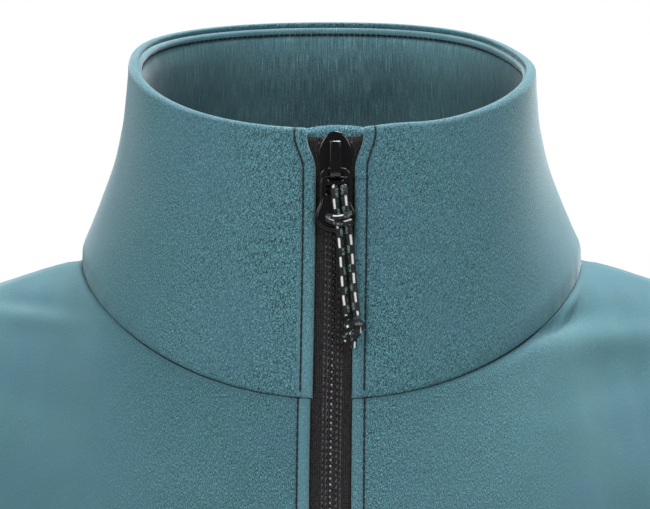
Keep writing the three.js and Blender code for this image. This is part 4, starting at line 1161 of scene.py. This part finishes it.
def tube(points, radius, sides, step, braid=0.0, fixed=None, start=0.0, hand=1, pace=1.0):
    """Points, faces and cloth places of a round tube through points."""
    line = smooth_line(points, step)
    ahead = unit(np.gradient(line, axis=0))
    normal = np.empty_like(line)
    normal[0] = unit(np.cross(np.cross(ahead[0], fixed or (0, 1, 0.01)), ahead[0]))
    for k in range(1, len(line)):
        guide = np.array(fixed, float) if fixed else normal[k - 1]
        normal[k] = unit(guide - ahead[k] * np.dot(guide, ahead[k]))
    beside = np.cross(ahead, normal)
    turn = np.arange(sides + 1)[None, :] / sides
    along = start + run_along(line[:, None], 0)
    cross = np.cos(TURN * (4 * turn + along / 2.6)) * np.cos(TURN * (4 * turn - along / 2.6))
    wide = radius * (1 + braid * cross)
    out = normal[:, None] * each(np.cos(TURN * turn) * wide)
    points = line[:, None] + out + beside[:, None] * each(np.sin(TURN * turn) * wide)
    ids = np.arange(points.shape[0] * points.shape[1]).reshape(points.shape[:2])
    faces = grid_faces(ids, True).tolist() + [ids[0].tolist(), ids[-1, ::-1].tolist()]
    coords = vec(hand * turn + 0 * along, along * pace + 0 * turn, 0)
    return points.reshape(-1, 3), faces, coords.reshape(-1, 3), line


def add_tubes(name, tubes):
    """One cord piece from tubes in the zip's frame."""
    points, faces = joined([made[:2] for made in tubes])
    coords = np.concatenate([made[2] for made in tubes])
    piece = add_mesh(name, from_zip(points, HINGE, COLLAR_LEAN), faces, coords, "pull")
    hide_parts(name)
    return piece


def cord_line(shift):
    """A strand's way from inside the pull's hole down the zip, as side, out and up."""
    rows = [CORD_ROUTE["side"] + shift, CORD_ROUTE["out"] - AXIS.out, -CORD_ROUTE["down"]]
    route = np.stack(rows, -1)
    first = route[0] + np.array(((0, -3.3, 0.1), (0, -1.5, 0.5)))
    route[0] += np.array((0, -0.1, -0.3))
    return np.concatenate([first, route])


def hitch_line(lower, tilt):
    """A half turn of cord over both strands, sagging between its ends."""
    angle = math.pi * np.linspace(0.04, 0.96, 15)
    side = HITCH.side - HITCH.radius * np.cos(angle)
    rise = HITCH.out - AXIS.out + HITCH.rise * np.sin(angle) ** 0.6 - 0.4
    sag = HITCH.sag * (1 - np.cos(angle) ** 2)
    return vec(side, rise, -HITCH.down - lower - sag + tilt * np.cos(angle))


def knot_line():
    """An overhand knot: a three-lobed line that passes over and under itself."""
    t = np.linspace(-0.25, TURN - 0.55, 64)
    side = KNOT.side + 0.74 * (np.sin(t) + 2 * np.sin(2 * t))
    up = -KNOT.down + 0.8 * (np.cos(t) - 2 * np.cos(2 * t))
    return vec(side, KNOT.out - AXIS.out - 1.15 * np.sin(3 * t), up)


def tail_line(side, down):
    out = KNOT.out - AXIS.out
    first = (KNOT.side - 0.8, out, -KNOT.down - 0.8)
    middle = (mix(KNOT.side, side, 0.7), out - 0.3, -mix(KNOT.down, down, 0.6))
    return np.array((first, middle, (side, out - 0.8, -down)))


def make_cord():
    """The two strands, the hitch round them and the knot with its tails."""
    turns = ((-HITCH.apart / 2, -0.4, 3.6), (HITCH.apart / 2, 0.3, 0.0))
    loops = [tube(hitch_line(low, tilt), HITCH.cord, 14, 0.3, BRAID, start=at) for low, tilt, at in turns]
    hitch = add_tubes("cord_hitch", loops)
    knot_parts = [tube(knot_line(), KNOT.cord, 16, 0.3, BRAID, pace=1.7)]
    for side, down in zip(TAILS["side"], TAILS["down"]):
        tail = tail_line(side, down)
        knot_parts.append(tube(tail, KNOT.tail, 14, 0.4, BRAID, start=1.2, pace=1.3))
    knot = add_tubes("cord_knot", knot_parts)
    strands = []
    for name, shift in (("cord_strand_right", 0.0), ("cord_strand_left", STRAND_STEP)):
        hand = 1 if shift else -1
        lay = {"fixed": (0, 1, 0), "start": shift / 3, "hand": hand}
        made = tube(cord_line(shift), CORD_RADIUS, 18, 0.3, BRAID, **lay)
        strand = add_tubes(name, [made])
        path = from_zip(made[3], HINGE, COLLAR_LEAN) * MM
        [tuple(point) for point in path[::4]] + [tuple(path[-1])]
        strands.append(strand)
    return [*strands, hitch, knot]


# ---- Shader graphs ----
# Knits: strokes for each millimetre across and along, their lean, how strongly they show, and
# the strength of long strokes near the zip.
KNITS = {
    "fleece_outer": (3.3, 1.2, -0.2, 1.15, 0),
    "fleece_sleeve": (3.3, 1.2, -0.2, 1.15, 0),
    "fleece_collar": (3.3, 1.2, -0.2, 1.3, 0.65),
    "fleece_flap": (2.7, 0.85, -0.2, 1.65, 0),
    "fleece_inner": (3.2, 0.12, 0.0, 0.5, 0),
}
# Where the cloth beside the zip is painted paler, a painted highlight of light on its turned edge,
# in metres: on the wearer's right, on the left, in front of the sides, and up to the height where it fades.
PAINTED_HIGHLIGHT_RIGHT, PAINTED_HIGHLIGHT_LEFT = (-0.0119, -0.0058), (0.0068, 0.0109)
BACK_FROM, PAINTED_HIGHLIGHT_TOP = (-0.04, -0.02), (-0.03, 0.035)
SHADE_BELOW_RIM = (0.054, 0.084)  # heights between which the painted shade on the inner layer fades out
HEAD_HIGHLIGHT_FADE = (-0.04, -0.012)  # heights between which the painted highlight on the coil's heads fades out, so they turn black


class Wire:
    """A value inside a shader; arithmetic on it adds the nodes."""

    def __init__(self, graph, socket):
        self.graph, self.socket = graph, socket

    def _with(self, operation, first, second):
        return self.graph.node("ShaderNodeMath", {"operation": operation}, {0: first, 1: second})[0]

    def __add__(self, other):
        return self._with("ADD", self, other)

    __radd__ = __add__

    def __mul__(self, other):
        return self._with("MULTIPLY", self, other)

    __rmul__ = __mul__

    def __sub__(self, other):
        return self._with("SUBTRACT", self, other)

    def __rsub__(self, other):
        return self._with("SUBTRACT", other, self)

    def __truediv__(self, other):
        return self._with("DIVIDE", self, other)

    def __rtruediv__(self, other):
        return self._with("DIVIDE", other, self)

    def __mod__(self, other):
        return self._with("FLOORED_MODULO", self, other)


class Graph:
    """The nodes of a material or of the world."""

    def __init__(self, owner):
        owner.use_nodes = True
        self.owner, self.tree = owner, owner.node_tree
        self.tree.nodes.clear()

    def node(self, kind, settings=None, inputs=None):
        """Adds a node and gives its outputs."""
        made = self.tree.nodes.new(kind)
        for key, value in (settings or {}).items():
            setattr(made, key, value)
        for key, value in (inputs or {}).items():
            if isinstance(value, Wire):
                self.tree.links.new(value.socket, made.inputs[key])
            else:
                made.inputs[key].default_value = value
        return [Wire(self, socket) for socket in made.outputs]

    def split(self, vector):
        return self.node("ShaderNodeSeparateXYZ", None, {0: vector})

    def cloth(self):
        """Places across and along a piece, in millimetres."""
        return self.split(self.node("ShaderNodeAttribute", {"attribute_name": "cloth"})[1])[:2]

    def place(self):
        """The object's own coordinates, in metres."""
        return self.node("ShaderNodeTexCoord")[3]

    def noise(self, scale, detail, roughness, vector=None):
        """Noise in the object's own coordinates, unless others are given."""
        inputs = {"Scale": scale, "Detail": detail, "Roughness": roughness}
        inputs["Vector"] = vector or self.place()
        return self.node("ShaderNodeTexNoise", {"noise_dimensions": "3D"}, inputs)[0]

    def strokes(self, x, y):
        """Fine noise drawn out into strokes by its two coordinates."""
        return self.noise(1.0, 1.0, 0.5, self.node("ShaderNodeCombineXYZ", None, {0: x, 1: y})[0])

    def wave(self, value):
        return self.node("ShaderNodeMath", {"operation": "SINE"}, {0: value})[0]

    def step(self, value, low, high):
        """0 below one value, 1 above another, and smooth between."""
        inputs = {"Value": value, "From Min": low, "From Max": high}
        return self.node("ShaderNodeMapRange", {"interpolation_type": "SMOOTHSTEP"}, inputs)[0]

    def band(self, value, low, high, soft):
        """1 between two values and 0 outside them, with soft ends."""
        return self.step(value, low - soft, low + soft) * (1.0 - self.step(value, high - soft, high + soft))

    def blend(self, first, second, share, kind="MIX"):
        """A mix of two colours."""
        inputs = {0: share, 6: first, 7: second}
        return self.node("ShaderNodeMix", {"data_type": "RGBA", "blend_type": kind}, inputs)[2]

    def tones(self, colour, dark, light, share):
        """A colour that runs from a darker to a lighter tone of itself."""
        return self.blend(rgba(colour, dark), rgba(colour, light), share)

    def bump(self, height, depth):
        inputs = {"Height": height, "Distance": depth * MM, "Strength": 1.0}
        return self.node("ShaderNodeBump", None, inputs)[0]

    def finish(self, **inputs):
        """Joins a Principled surface to the output."""
        named = {key.replace("_", " "): value for key, value in inputs.items()}
        surface = self.node("ShaderNodeBsdfPrincipled", None, named)[0]
        self.node("ShaderNodeOutputMaterial", None, {0: surface})
        return self.owner


def new_graph(name):
    return Graph(bpy.data.materials.new(name))


def rgba(colour, gain=1.0):
    return (*[channel * gain for channel in colour], 1.0)


def knit_material(name, looks, colour, deep=None):
    """Heathered knit: short leaning strokes, fine pale and dark specks, and faint mottling.

    Beside the zip a painted highlight makes the cloth paler, where light falls on its turned edge. A deep
    colour paints shade on the cloth below the rim.
    """
    stroke_across, stroke_along, lean, contrast, ribs = KNITS[name]
    graph = new_graph(name)
    across, along = graph.cloth()
    x, y, z = graph.split(graph.place())
    middle = 1.0 - graph.step(x * x, 0.002, 0.0075) * 0.82
    middle = middle + (1.0 - graph.step(x * x, 0.0002, 0.0012)) * 0.6
    strokes = graph.strokes((across + along * lean) * stroke_across, along * stroke_along)
    specks = graph.noise(looks.speck_scale / MM, 1.0, 0.5)
    mottle = graph.noise(70.0, 3.0, 0.6)
    cool = graph.noise(34.0, 2.0, 0.5)
    fine = (strokes - 0.5) * contrast + (specks - 0.5) * (contrast * 0.9)
    if ribs:
        long = graph.strokes((x - z * 0.33) * 1500.0, z * 420.0)
        fine = fine + (long - 0.5) * (1.0 - graph.step(x * x, 0.0006, 0.0045)) * ribs
    tone = fine * middle + (mottle - 0.5) * 0.12 + 0.5
    base = graph.tones(colour, 0.12, 2.0, graph.step(tone, -0.1, 1.15))
    cold = graph.step(cool, 0.42, 0.66) * looks.cool_share
    base = graph.blend(base, rgba(looks.cool, contrast * 0.5 + 0.5), cold)
    pale = graph.step(specks + strokes, 1.16, 1.34) * middle * (0.42 * contrast)
    base = graph.blend(base, rgba(colour, 3.2), pale)
    # painted highlight: the cloth beside the zip is made paler where light falls on its turned edge
    edge = graph.band(x, *PAINTED_HIGHLIGHT_RIGHT, 0.0007) + graph.band(x, *PAINTED_HIGHLIGHT_LEFT, 0.0006) * 0.4
    edge = edge * (1.0 - graph.step(y, *BACK_FROM)) * (1.0 - graph.step(z, *PAINTED_HIGHLIGHT_TOP))
    base = graph.blend(base, rgba(looks.edge_highlight), edge * 0.5)
    # painted shade: the inner layer is darkened below the rim, standing for shade inside the collar
    if deep is not None:
        tint = graph.blend(rgba(deep), rgba((1, 1, 1)), graph.step(z, *SHADE_BELOW_RIM))
        base = graph.blend(base, tint, 1.0, "MULTIPLY")
    return graph.finish(
        Base_Color=base,
        Roughness=0.86,
        Specular_IOR_Level=0.22,
        Sheen_Weight=looks.sheen,
        Sheen_Roughness=0.42,
        Sheen_Tint=rgba(looks.sheen_tint),
        Normal=graph.bump((strokes * 0.8 + specks * 0.5) * middle, looks.knit_depth),
    )


def thread_material(looks):
    """Twisted sewing thread, painted dark so that it also carries the painted shade of its sewn groove."""
    graph = new_graph("thread_and_groove_shade")
    twist = graph.noise(1800.0, 1.0, 0.5)
    return graph.finish(
        Base_Color=graph.tones(looks.thread, 0.5, 1.7, graph.step(twist, 0.3, 0.7)),
        Roughness=0.6,
        Specular_IOR_Level=0.4,
        Normal=graph.bump(twist, 0.1),
    )


def tape_material(looks):
    """Woven zip tape: upright ribs crossed by rows, needle holes darkened with painted shade, pale loops
    and faint flecks.
    """
    graph = new_graph("tape_weave")
    across, along = graph.cloth()
    ribs, rows = graph.wave(across * (TURN / 0.62)), graph.wave(along * (TURN / 0.55))
    cells = graph.noise(1500.0, 1.0, 0.6)
    tone = ribs * 0.16 + rows * 0.12 + cells * 0.9 - 0.1
    base = graph.tones(looks.tape, 0.15, 2.9, graph.step(tone, 0.08, 0.72))
    square = across * across
    sewn = graph.band(square, 2.0, 3.9, 0.4) + graph.band(square, 7.4, 10.8, 0.8)
    turn = (along + across * 0.3) % CHAIN_PITCH
    holes = sewn * graph.band(turn, 0.15, 0.95, 0.12)
    loops = sewn * graph.band(turn, 1.2, 1.9, 0.12) * graph.step(cells, 0.25, 0.55)
    # painted shade: the needle holes between stitches are darkened
    base = graph.blend(base, rgba(looks.tape, 0.02), holes)
    base = graph.blend(base, rgba(looks.tape, 9.0), loops)
    warm = graph.noise(900.0, 2.0, 0.6)
    base = graph.blend(base, rgba(looks.tape_fleck), graph.step(warm, 0.5, 0.72) * 0.45)
    return graph.finish(
        Base_Color=base,
        Roughness=0.8,
        Specular_IOR_Level=0.25,
        Sheen_Weight=0.1,
        Normal=graph.bump(ribs * 0.5 + rows * 0.3 + cells, 0.14),
    )


def coil_material(name, looks, gain):
    """Smooth nylon filament, paler than the tape by a gain, and black again close to the slider; on the
    near heads the paleness is a painted highlight.
    """
    graph = new_graph(name)
    grain = graph.noise(420.0, 2.0, 0.5)
    base = graph.tones(looks.tape, 0.5 * gain, 1.5 * gain, graph.step(grain, 0.35, 0.65))
    height = graph.split(graph.place())[2]
    # the paler nylon, a painted highlight on the near heads, fades back to black towards the slider
    base = graph.blend(base, rgba(looks.tape), graph.step(height, *HEAD_HIGHLIGHT_FADE) * 0.9)
    return graph.finish(
        Base_Color=base,
        Roughness=graph.step(grain, -0.6, 2.2),
        Specular_IOR_Level=0.6,
        Normal=graph.bump(grain, 0.06),
    )


def enamel_material(looks):
    """Glossy black enamel with the slight waves and dust of a painted casting."""
    graph = new_graph("gloss_enamel")
    wave = graph.noise(160.0, 2.0, 0.5)
    dust = graph.noise(1400.0, 2.0, 0.6)
    return graph.finish(
        Base_Color=graph.tones(looks.enamel, 0.8, 2.2, graph.step(dust, 0.62, 0.8)),
        Roughness=graph.step(dust, 0.2, 1.6) * 0.3 + 0.06,
        Specular_IOR_Level=0.32,
        Coat_Weight=0.34,
        Coat_Roughness=0.03,
        Normal=graph.bump(wave, 0.12),
    )


def cord_material(looks):
    """Braided cord: black yarns with paired pale flecks, and duller ones between them."""
    graph = new_graph("braided_cord")
    around, along = graph.cloth()
    turn = (around * 2.0 + 0.5) % 1.0 - 0.5
    run = (along + 0.2) % looks.fleck_pitch / looks.fleck_pitch
    white = graph.band(turn, 0.02, 0.2, 0.05) * graph.band(run, 0.02, 0.54, 0.03)
    specks = graph.noise(1500.0, 1.0, 0.5)
    patch = graph.band(turn, -0.36, -0.02, 0.06) * graph.band(run, 0.52, 0.98, 0.06)
    line = graph.band(turn, -0.26, -0.16, 0.04) * graph.band(run, 0.08, 0.48, 0.05)
    dull = graph.step(patch + line * 0.9 + specks, 1.3, 1.62)
    ahead, aside = along * (TURN / 0.55), around * (TURN * 4)
    yarn, other = graph.wave(ahead + aside), graph.wave(ahead - aside)
    base = graph.tones(looks.cord, 1.0, 3.0, graph.step(yarn + other, -0.5, 2.0))
    base = graph.blend(base, rgba(looks.cord_dull), dull)
    base = graph.blend(base, rgba(looks.cord_fleck), white)
    return graph.finish(
        Base_Color=base,
        Roughness=0.55,
        Specular_IOR_Level=0.4,
        Normal=graph.bump(yarn * 0.5 + other * 0.5, 0.18),
    )


def floor_material(looks):
    """Matt pale studio floor."""
    graph = new_graph("pale_floor")
    cloud = graph.noise(3.0, 3.0, 0.6)
    return graph.finish(
        Base_Color=graph.tones(looks.floor, 0.97, 1.03, cloud),
        Roughness=0.7,
        Specular_IOR_Level=0.2,
        Emission_Color=rgba(looks.floor),
        Emission_Strength=0.45,
        Normal=graph.bump(cloud, 0.3),
    )


def dress(pieces, material):
    """Gives each piece one material."""
    for piece in pieces:
        piece.data.materials.clear()
        piece.data.materials.append(material)


def colour(name, description, default):
    return FloatVectorProperty(
        name=name, description=description, subtype="COLOR", size=3, min=0, max=1, default=default
    )


def number(name, description, default, **limits):
    return FloatProperty(name=name, description=description, default=default, **limits)


class ClothLooks(bpy.types.PropertyGroup):
    """Colours and surface of the cloth and its sewing"""

    fleece: colour("Fleece", "Colour of the outer cloth", (0.074, 0.19, 0.222))
    inner: colour("Inner fleece", "Colour of the collar's inner layer", (0.17, 0.345, 0.39))
    # painted shade inside the collar, below the rim
    inner_painted_shade: colour("Inner painted shade", "Tint of the inner layer below the rim", (0.37, 0.4, 0.4))
    cool: colour("Cool patches", "Colour of the cooler patches in the cloth", (0.07, 0.162, 0.228))
    # painted highlight: paler cloth beside the zip, standing for light on its turned edge
    edge_highlight: colour("Painted edge highlight", "Colour of the paler cloth beside the zip", (0.15, 0.33, 0.385))
    cool_share: number("Cool share", "Strength of the cooler patches", 0.3)
    # dark thread colour: partly the thread's own, partly painted shade of the groove it lies in
    thread: colour("Thread", "Colour of the sewing thread", (0.006, 0.014, 0.02))
    sheen_tint: colour("Nap tint", "Colour of the nap at grazing angles", (0.84, 0.93, 0.96))
    sheen: number("Nap", "Strength of the nap's sheen", 0.5, min=0, max=1)
    speck_scale: number("Specks", "Specks for each millimetre", 3.4, min=0.1)
    knit_depth: number("Knit depth", "Depth of the knit in millimetres", 0.16)
    stitch: number("Stitch", "Length of a stitch in millimetres", 2.9)
    stitch_gap: number("Stitch gap", "Gap between stitches in millimetres", 0.05)
    yarn: number("Thread radius", "Radius of the thread in millimetres", 0.4)


class ZipLooks(bpy.types.PropertyGroup):
    """Colours of the zip, its pull and the cord"""

    tape: colour("Tape", "Colour of the zip tape and coil", (0.0178, 0.0168, 0.0182))
    tape_fleck: colour("Tape flecks", "Colour of the odd fibres in the tape", (0.045, 0.028, 0.03))
    # painted highlight: the near heads' paleness stands for light caught on the glossy nylon
    head_highlight_gain: number("Coil heads", "How much paler the coil's worn heads are", 16)
    nylon_gain: number("Nylon", "How much paler the rest of the nylon is", 3.2)
    enamel: colour("Enamel", "Colour of the slider and pull", (0.006, 0.006, 0.007))
    cord: colour("Cord", "Colour of the cord's dark yarns", (0.008, 0.009, 0.01))
    cord_fleck: colour("Cord flecks", "Colour of the cord's pale yarns", (0.95, 0.97, 0.95))
    cord_dull: colour("Dull flecks", "Colour of the duller yarns", (0.17, 0.27, 0.25))
    fleck_pitch: number("Fleck pitch", "Spacing of the flecks in millimetres", 6.6)


class StageLooks(bpy.types.PropertyGroup):
    """Camera, light and floor of the studio"""

    lens: number("Lens", "Focal length in millimetres", 347.3, min=10)
    distance: number("Distance", "Camera distance", 2.2, subtype="DISTANCE", unit="LENGTH")
    elevation: number("Elevation", "Camera angle above level", math.radians(5), subtype="ANGLE")
    key: number("Key", "Power of the main light in watts", 36, min=0)
    fill: number("Fill", "Power of each side light in watts", 16, min=0)
    top: number("Top", "Power of the light overhead in watts", 80, min=0)
    ambient: number("Ambient", "Strength of the light from all round", 0.15)
    floor: colour("Floor", "Colour of the floor", (0.8, 0.8, 0.79))


# ---- Stage ----
TARGET = Vector((-2.35, 0, 2.6)) * MM
FLOOR = Group(z=HEM_Z * MM - 0.75, radius=6, corners=64)
AMBIENT_COLOUR = (0.95, 0.98, 1)
LIGHTS = table(
    "x y z size key side top",  # place and size in metres, and shares of the three powers
    (-1.35, -2.4, 1.5, 1.1, 0.64, 0, 0),
    (1.25, -2.45, 1.5, 1.1, 0.69, 0, 0),
    (-2.3, -0.3, 0.9, 1.4, 0, 0.8, 0),
    (2.3, -0.3, 0.9, 1.4, 0, 0.06, 0),
    (0.5, 0.9, 2.35, 1.5, 0, 0, 1.52),
    (-1.5, 1.7, 0.9, 1.0, 0, 0, 0.2),
    (1.5, 1.7, 0.9, 1.0, 0, 0, 0.12),
    (0.3, -1.9, 1.1, 0.12, 0.03, 0, 0),
    (-0.9, -1.7, 0.9, 0.12, 0.03, 0, 0),
)


def add_light(name, place, size, power):
    """A round soft light that faces the collar."""
    light = bpy.data.lights.new(name, "AREA")
    light.energy, light.size, light.shape = power, size, "DISK"
    lamp = add_object(name, light)
    lamp.location = place
    lamp.rotation_euler = (TARGET - Vector(place)).to_track_quat("-Z", "Y").to_euler()


def light_world(ambient):
    """White behind the object, and a softer light from all round it."""
    world = bpy.context.scene.world or bpy.data.worlds.new("studio")
    bpy.context.scene.world = world
    graph = Graph(world)
    around = graph.node("ShaderNodeBackground", None, {0: rgba(AMBIENT_COLOUR), 1: ambient})[0]
    behind = graph.node("ShaderNodeBackground", None, {0: rgba((1, 1, 1))})[0]
    is_seen = graph.node("ShaderNodeLightPath")[0]
    chosen = graph.node("ShaderNodeMixShader", None, {0: is_seen, 1: around, 2: behind})[0]
    graph.node("ShaderNodeOutputWorld", None, {0: chosen})


def add_floor(looks):
    """A round floor well below the hem."""
    angles = np.linspace(0, TURN, FLOOR.corners + 1)[:-1]
    edge = vec(FLOOR.radius * np.cos(angles), FLOOR.radius * np.sin(angles), FLOOR.z)
    mesh = bpy.data.meshes.new("floor")
    mesh.from_pydata(edge, [], [list(range(FLOOR.corners))])
    floor = add_object("floor", mesh)
    dress([floor], floor_material(looks))


def build_stage(looks):
    """The camera, the lights, the world's light and the floor."""
    scene = bpy.context.scene
    data = bpy.data.cameras.new("camera")
    data.lens, data.sensor_width = looks.lens, 36
    data.clip_start, data.clip_end = 0.05, 60
    camera = add_object("camera", data)
    back = Vector((0, -math.cos(looks.elevation), math.sin(looks.elevation)))
    camera.location = TARGET + back * looks.distance
    camera.rotation_euler = (-back).to_track_quat("-Z", "Y").to_euler()
    scene.camera = camera
    powers = LIGHTS["key"] * looks.key + LIGHTS["side"] * looks.fill + LIGHTS["top"] * looks.top
    places = np.stack([LIGHTS[axis] for axis in "xyz"], -1)
    for k, (place, size, power) in enumerate(zip(places, LIGHTS["size"], powers)):
        add_light(f"light_{k}", place, size, power)
    light_world(looks.ambient)
    scene.view_settings.view_transform = "Standard"
    scene.view_settings.look = "None"
    add_floor(looks)


# ---- Operators ----
def settings():
    """The looks of the cloth, of the zip and of the stage."""
    scene = bpy.context.scene
    return scene.jacket_cloth, scene.jacket_zip, scene.jacket_stage


def row_of(cloth, path, end=0):
    """A row of stitches that ends a set distance before the end of its path."""
    first = (path.run[-1] - end - cloth.stitch) % (cloth.stitch + cloth.stitch_gap)
    return stitch_row(path, cloth.stitch, cloth.stitch_gap, cloth.yarn, 0.12, first, end - 0.01)


class JACKET_OT_body(bpy.types.Operator):
    """Builds both fronts and the back, with their sewn edges and hem"""

    bl_idname = "jacket.body"
    bl_label = "Body"

    def execute(self, context):
        cloth, _, _ = settings()
        left, left_seam, left_hems = make_front(1, "front_left")
        right, right_seam, right_hems = make_front(-1, "front_right")
        back, back_hems = make_back()
        dress([left, right, back], knit_material("fleece_outer", cloth, cloth.fleece))
        beside_zip = [row_of(cloth, seam, 0.3) for seam in (left_seam, right_seam)]
        at_hem = [row_of(cloth, path, 1) for path in (*left_hems, *right_hems, *back_hems)]
        threads = [add_stitches("zip_stitches", beside_zip), add_stitches("hem_stitches", at_hem)]
        dress(threads, thread_material(cloth))
        return {"FINISHED"}


class JACKET_OT_sleeves(bpy.types.Operator):
    """Builds both sleeves with their sewn cuffs"""

    bl_idname = "jacket.sleeves"
    bl_label = "Sleeves"

    def execute(self, context):
        cloth, _, _ = settings()
        fleece = knit_material("fleece_sleeve", cloth, cloth.fleece)
        thread = thread_material(cloth)
        for side, name in ((1, "sleeve_left"), (-1, "sleeve_right")):
            piece, cuffs = make_sleeve(side, name)
            dress([piece], fleece)
            stitches = add_stitches(f"{name}_stitches", [row_of(cloth, path) for path in cuffs])
            dress([stitches], thread)
        return {"FINISHED"}


class JACKET_OT_collar(bpy.types.Operator):
    """Builds the collar with its rolled top edge, and its inner layer"""

    bl_idname = "jacket.collar"
    bl_label = "Collar"

    def execute(self, context):
        cloth, _, _ = settings()
        collar, seams = make_collar()
        facing, rim_seam = make_facing()
        dress([collar], knit_material("fleece_collar", cloth, cloth.fleece))
        dress([facing], knit_material("fleece_inner", cloth, cloth.inner, cloth.inner_painted_shade))
        sewn = add_stitches("collar_stitches", [row_of(cloth, seam, 1) for seam in seams])
        rim = add_stitches("rim_stitches", [stitch_row(rim_seam, *RIM_SEWING)])
        dress([sewn, rim], thread_material(cloth))
        return {"FINISHED"}


class JACKET_OT_zip(bpy.types.Operator):
    """Builds the tapes, the flap behind them, the coil, the slider, the pull and the bottom box"""

    bl_idname = "jacket.zip"
    bl_label = "Zip"

    def execute(self, context):
        cloth, metal, _ = settings()
        tape, enamel = tape_material(metal), enamel_material(metal)
        guard, guard_seam = make_guard()
        dress([guard], knit_material("fleece_flap", cloth, cloth.fleece))
        lines = []
        for side, name in ((1, "zip_tape_left"), (-1, "zip_tape_right")):
            piece, paths = make_tape(side, name)
            dress([piece], tape)
            lines += paths
        near, far = make_coil()
        heads = add_stitches("zip_coil_heads", [near])
        behind = add_stitches("zip_coil_behind", [far])
        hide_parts("zip_chain")
        # painted highlight on the near coil heads
        dress([heads], coil_material("coil_heads_highlight", metal, metal.head_highlight_gain))
        sewing = [stitch_row(path, *TAPE_SEWING) for path in lines]
        sewn = add_stitches("zip_tape_stitches", sewing)
        dress([behind, sewn], coil_material("coil_nylon", metal, metal.nylon_gain))
        dress([add_stitches("guard_stitches", [row_of(cloth, guard_seam)])], thread_material(cloth))
        dress([make_slider(), make_pull(), make_box()], enamel)
        return {"FINISHED"}


class JACKET_OT_cord(bpy.types.Operator):
    """Builds the pull cord's strands, hitch and knot"""

    bl_idname = "jacket.cord"
    bl_label = "Cord"

    def execute(self, context):
        dress(make_cord(), cord_material(settings()[1]))
        return {"FINISHED"}


class JACKET_OT_stage(bpy.types.Operator):
    """Sets up the camera, the lights and the floor"""

    bl_idname = "jacket.stage"
    bl_label = "Stage"

    def execute(self, context):
        build_stage(settings()[2])
        return {"FINISHED"}


OPERATORS = (
    JACKET_OT_stage,
    JACKET_OT_cord,
    JACKET_OT_zip,
    JACKET_OT_body,
    JACKET_OT_sleeves,
    JACKET_OT_collar,
)


class JACKET_PT_pieces(bpy.types.Panel):
    """Lists the jacket's pieces in the sidebar"""

    bl_label = "Jacket"
    bl_idname = "JACKET_PT_pieces"
    bl_space_type = "VIEW_3D"
    bl_region_type = "UI"
    bl_category = "Jacket"

    def draw(self, context):
        for operator in OPERATORS:
            self.layout.operator(operator.bl_idname)
        for group in settings():
            for name in group.bl_rna.properties.keys():
                if name not in ("name", "rna_type"):
                    self.layout.prop(group, name)


CLASSES = (ClothLooks, ZipLooks, StageLooks, *OPERATORS, JACKET_PT_pieces)


def register():
    for made in CLASSES:
        bpy.utils.register_class(made)
    bpy.types.Scene.jacket_cloth = PointerProperty(type=ClothLooks)
    bpy.types.Scene.jacket_zip = PointerProperty(type=ZipLooks)
    bpy.types.Scene.jacket_stage = PointerProperty(type=StageLooks)


def unregister():
    for name in ("jacket_cloth", "jacket_zip", "jacket_stage"):
        delattr(bpy.types.Scene, name)
    for made in reversed(CLASSES):
        bpy.utils.unregister_class(made)


def main():
    register()
    bpy.ops.jacket.stage()
    bpy.ops.jacket.cord()
    bpy.ops.jacket.zip()
    bpy.ops.jacket.body()
    bpy.ops.jacket.sleeves()
    bpy.ops.jacket.collar()


if __name__ == "__main__":
    main()
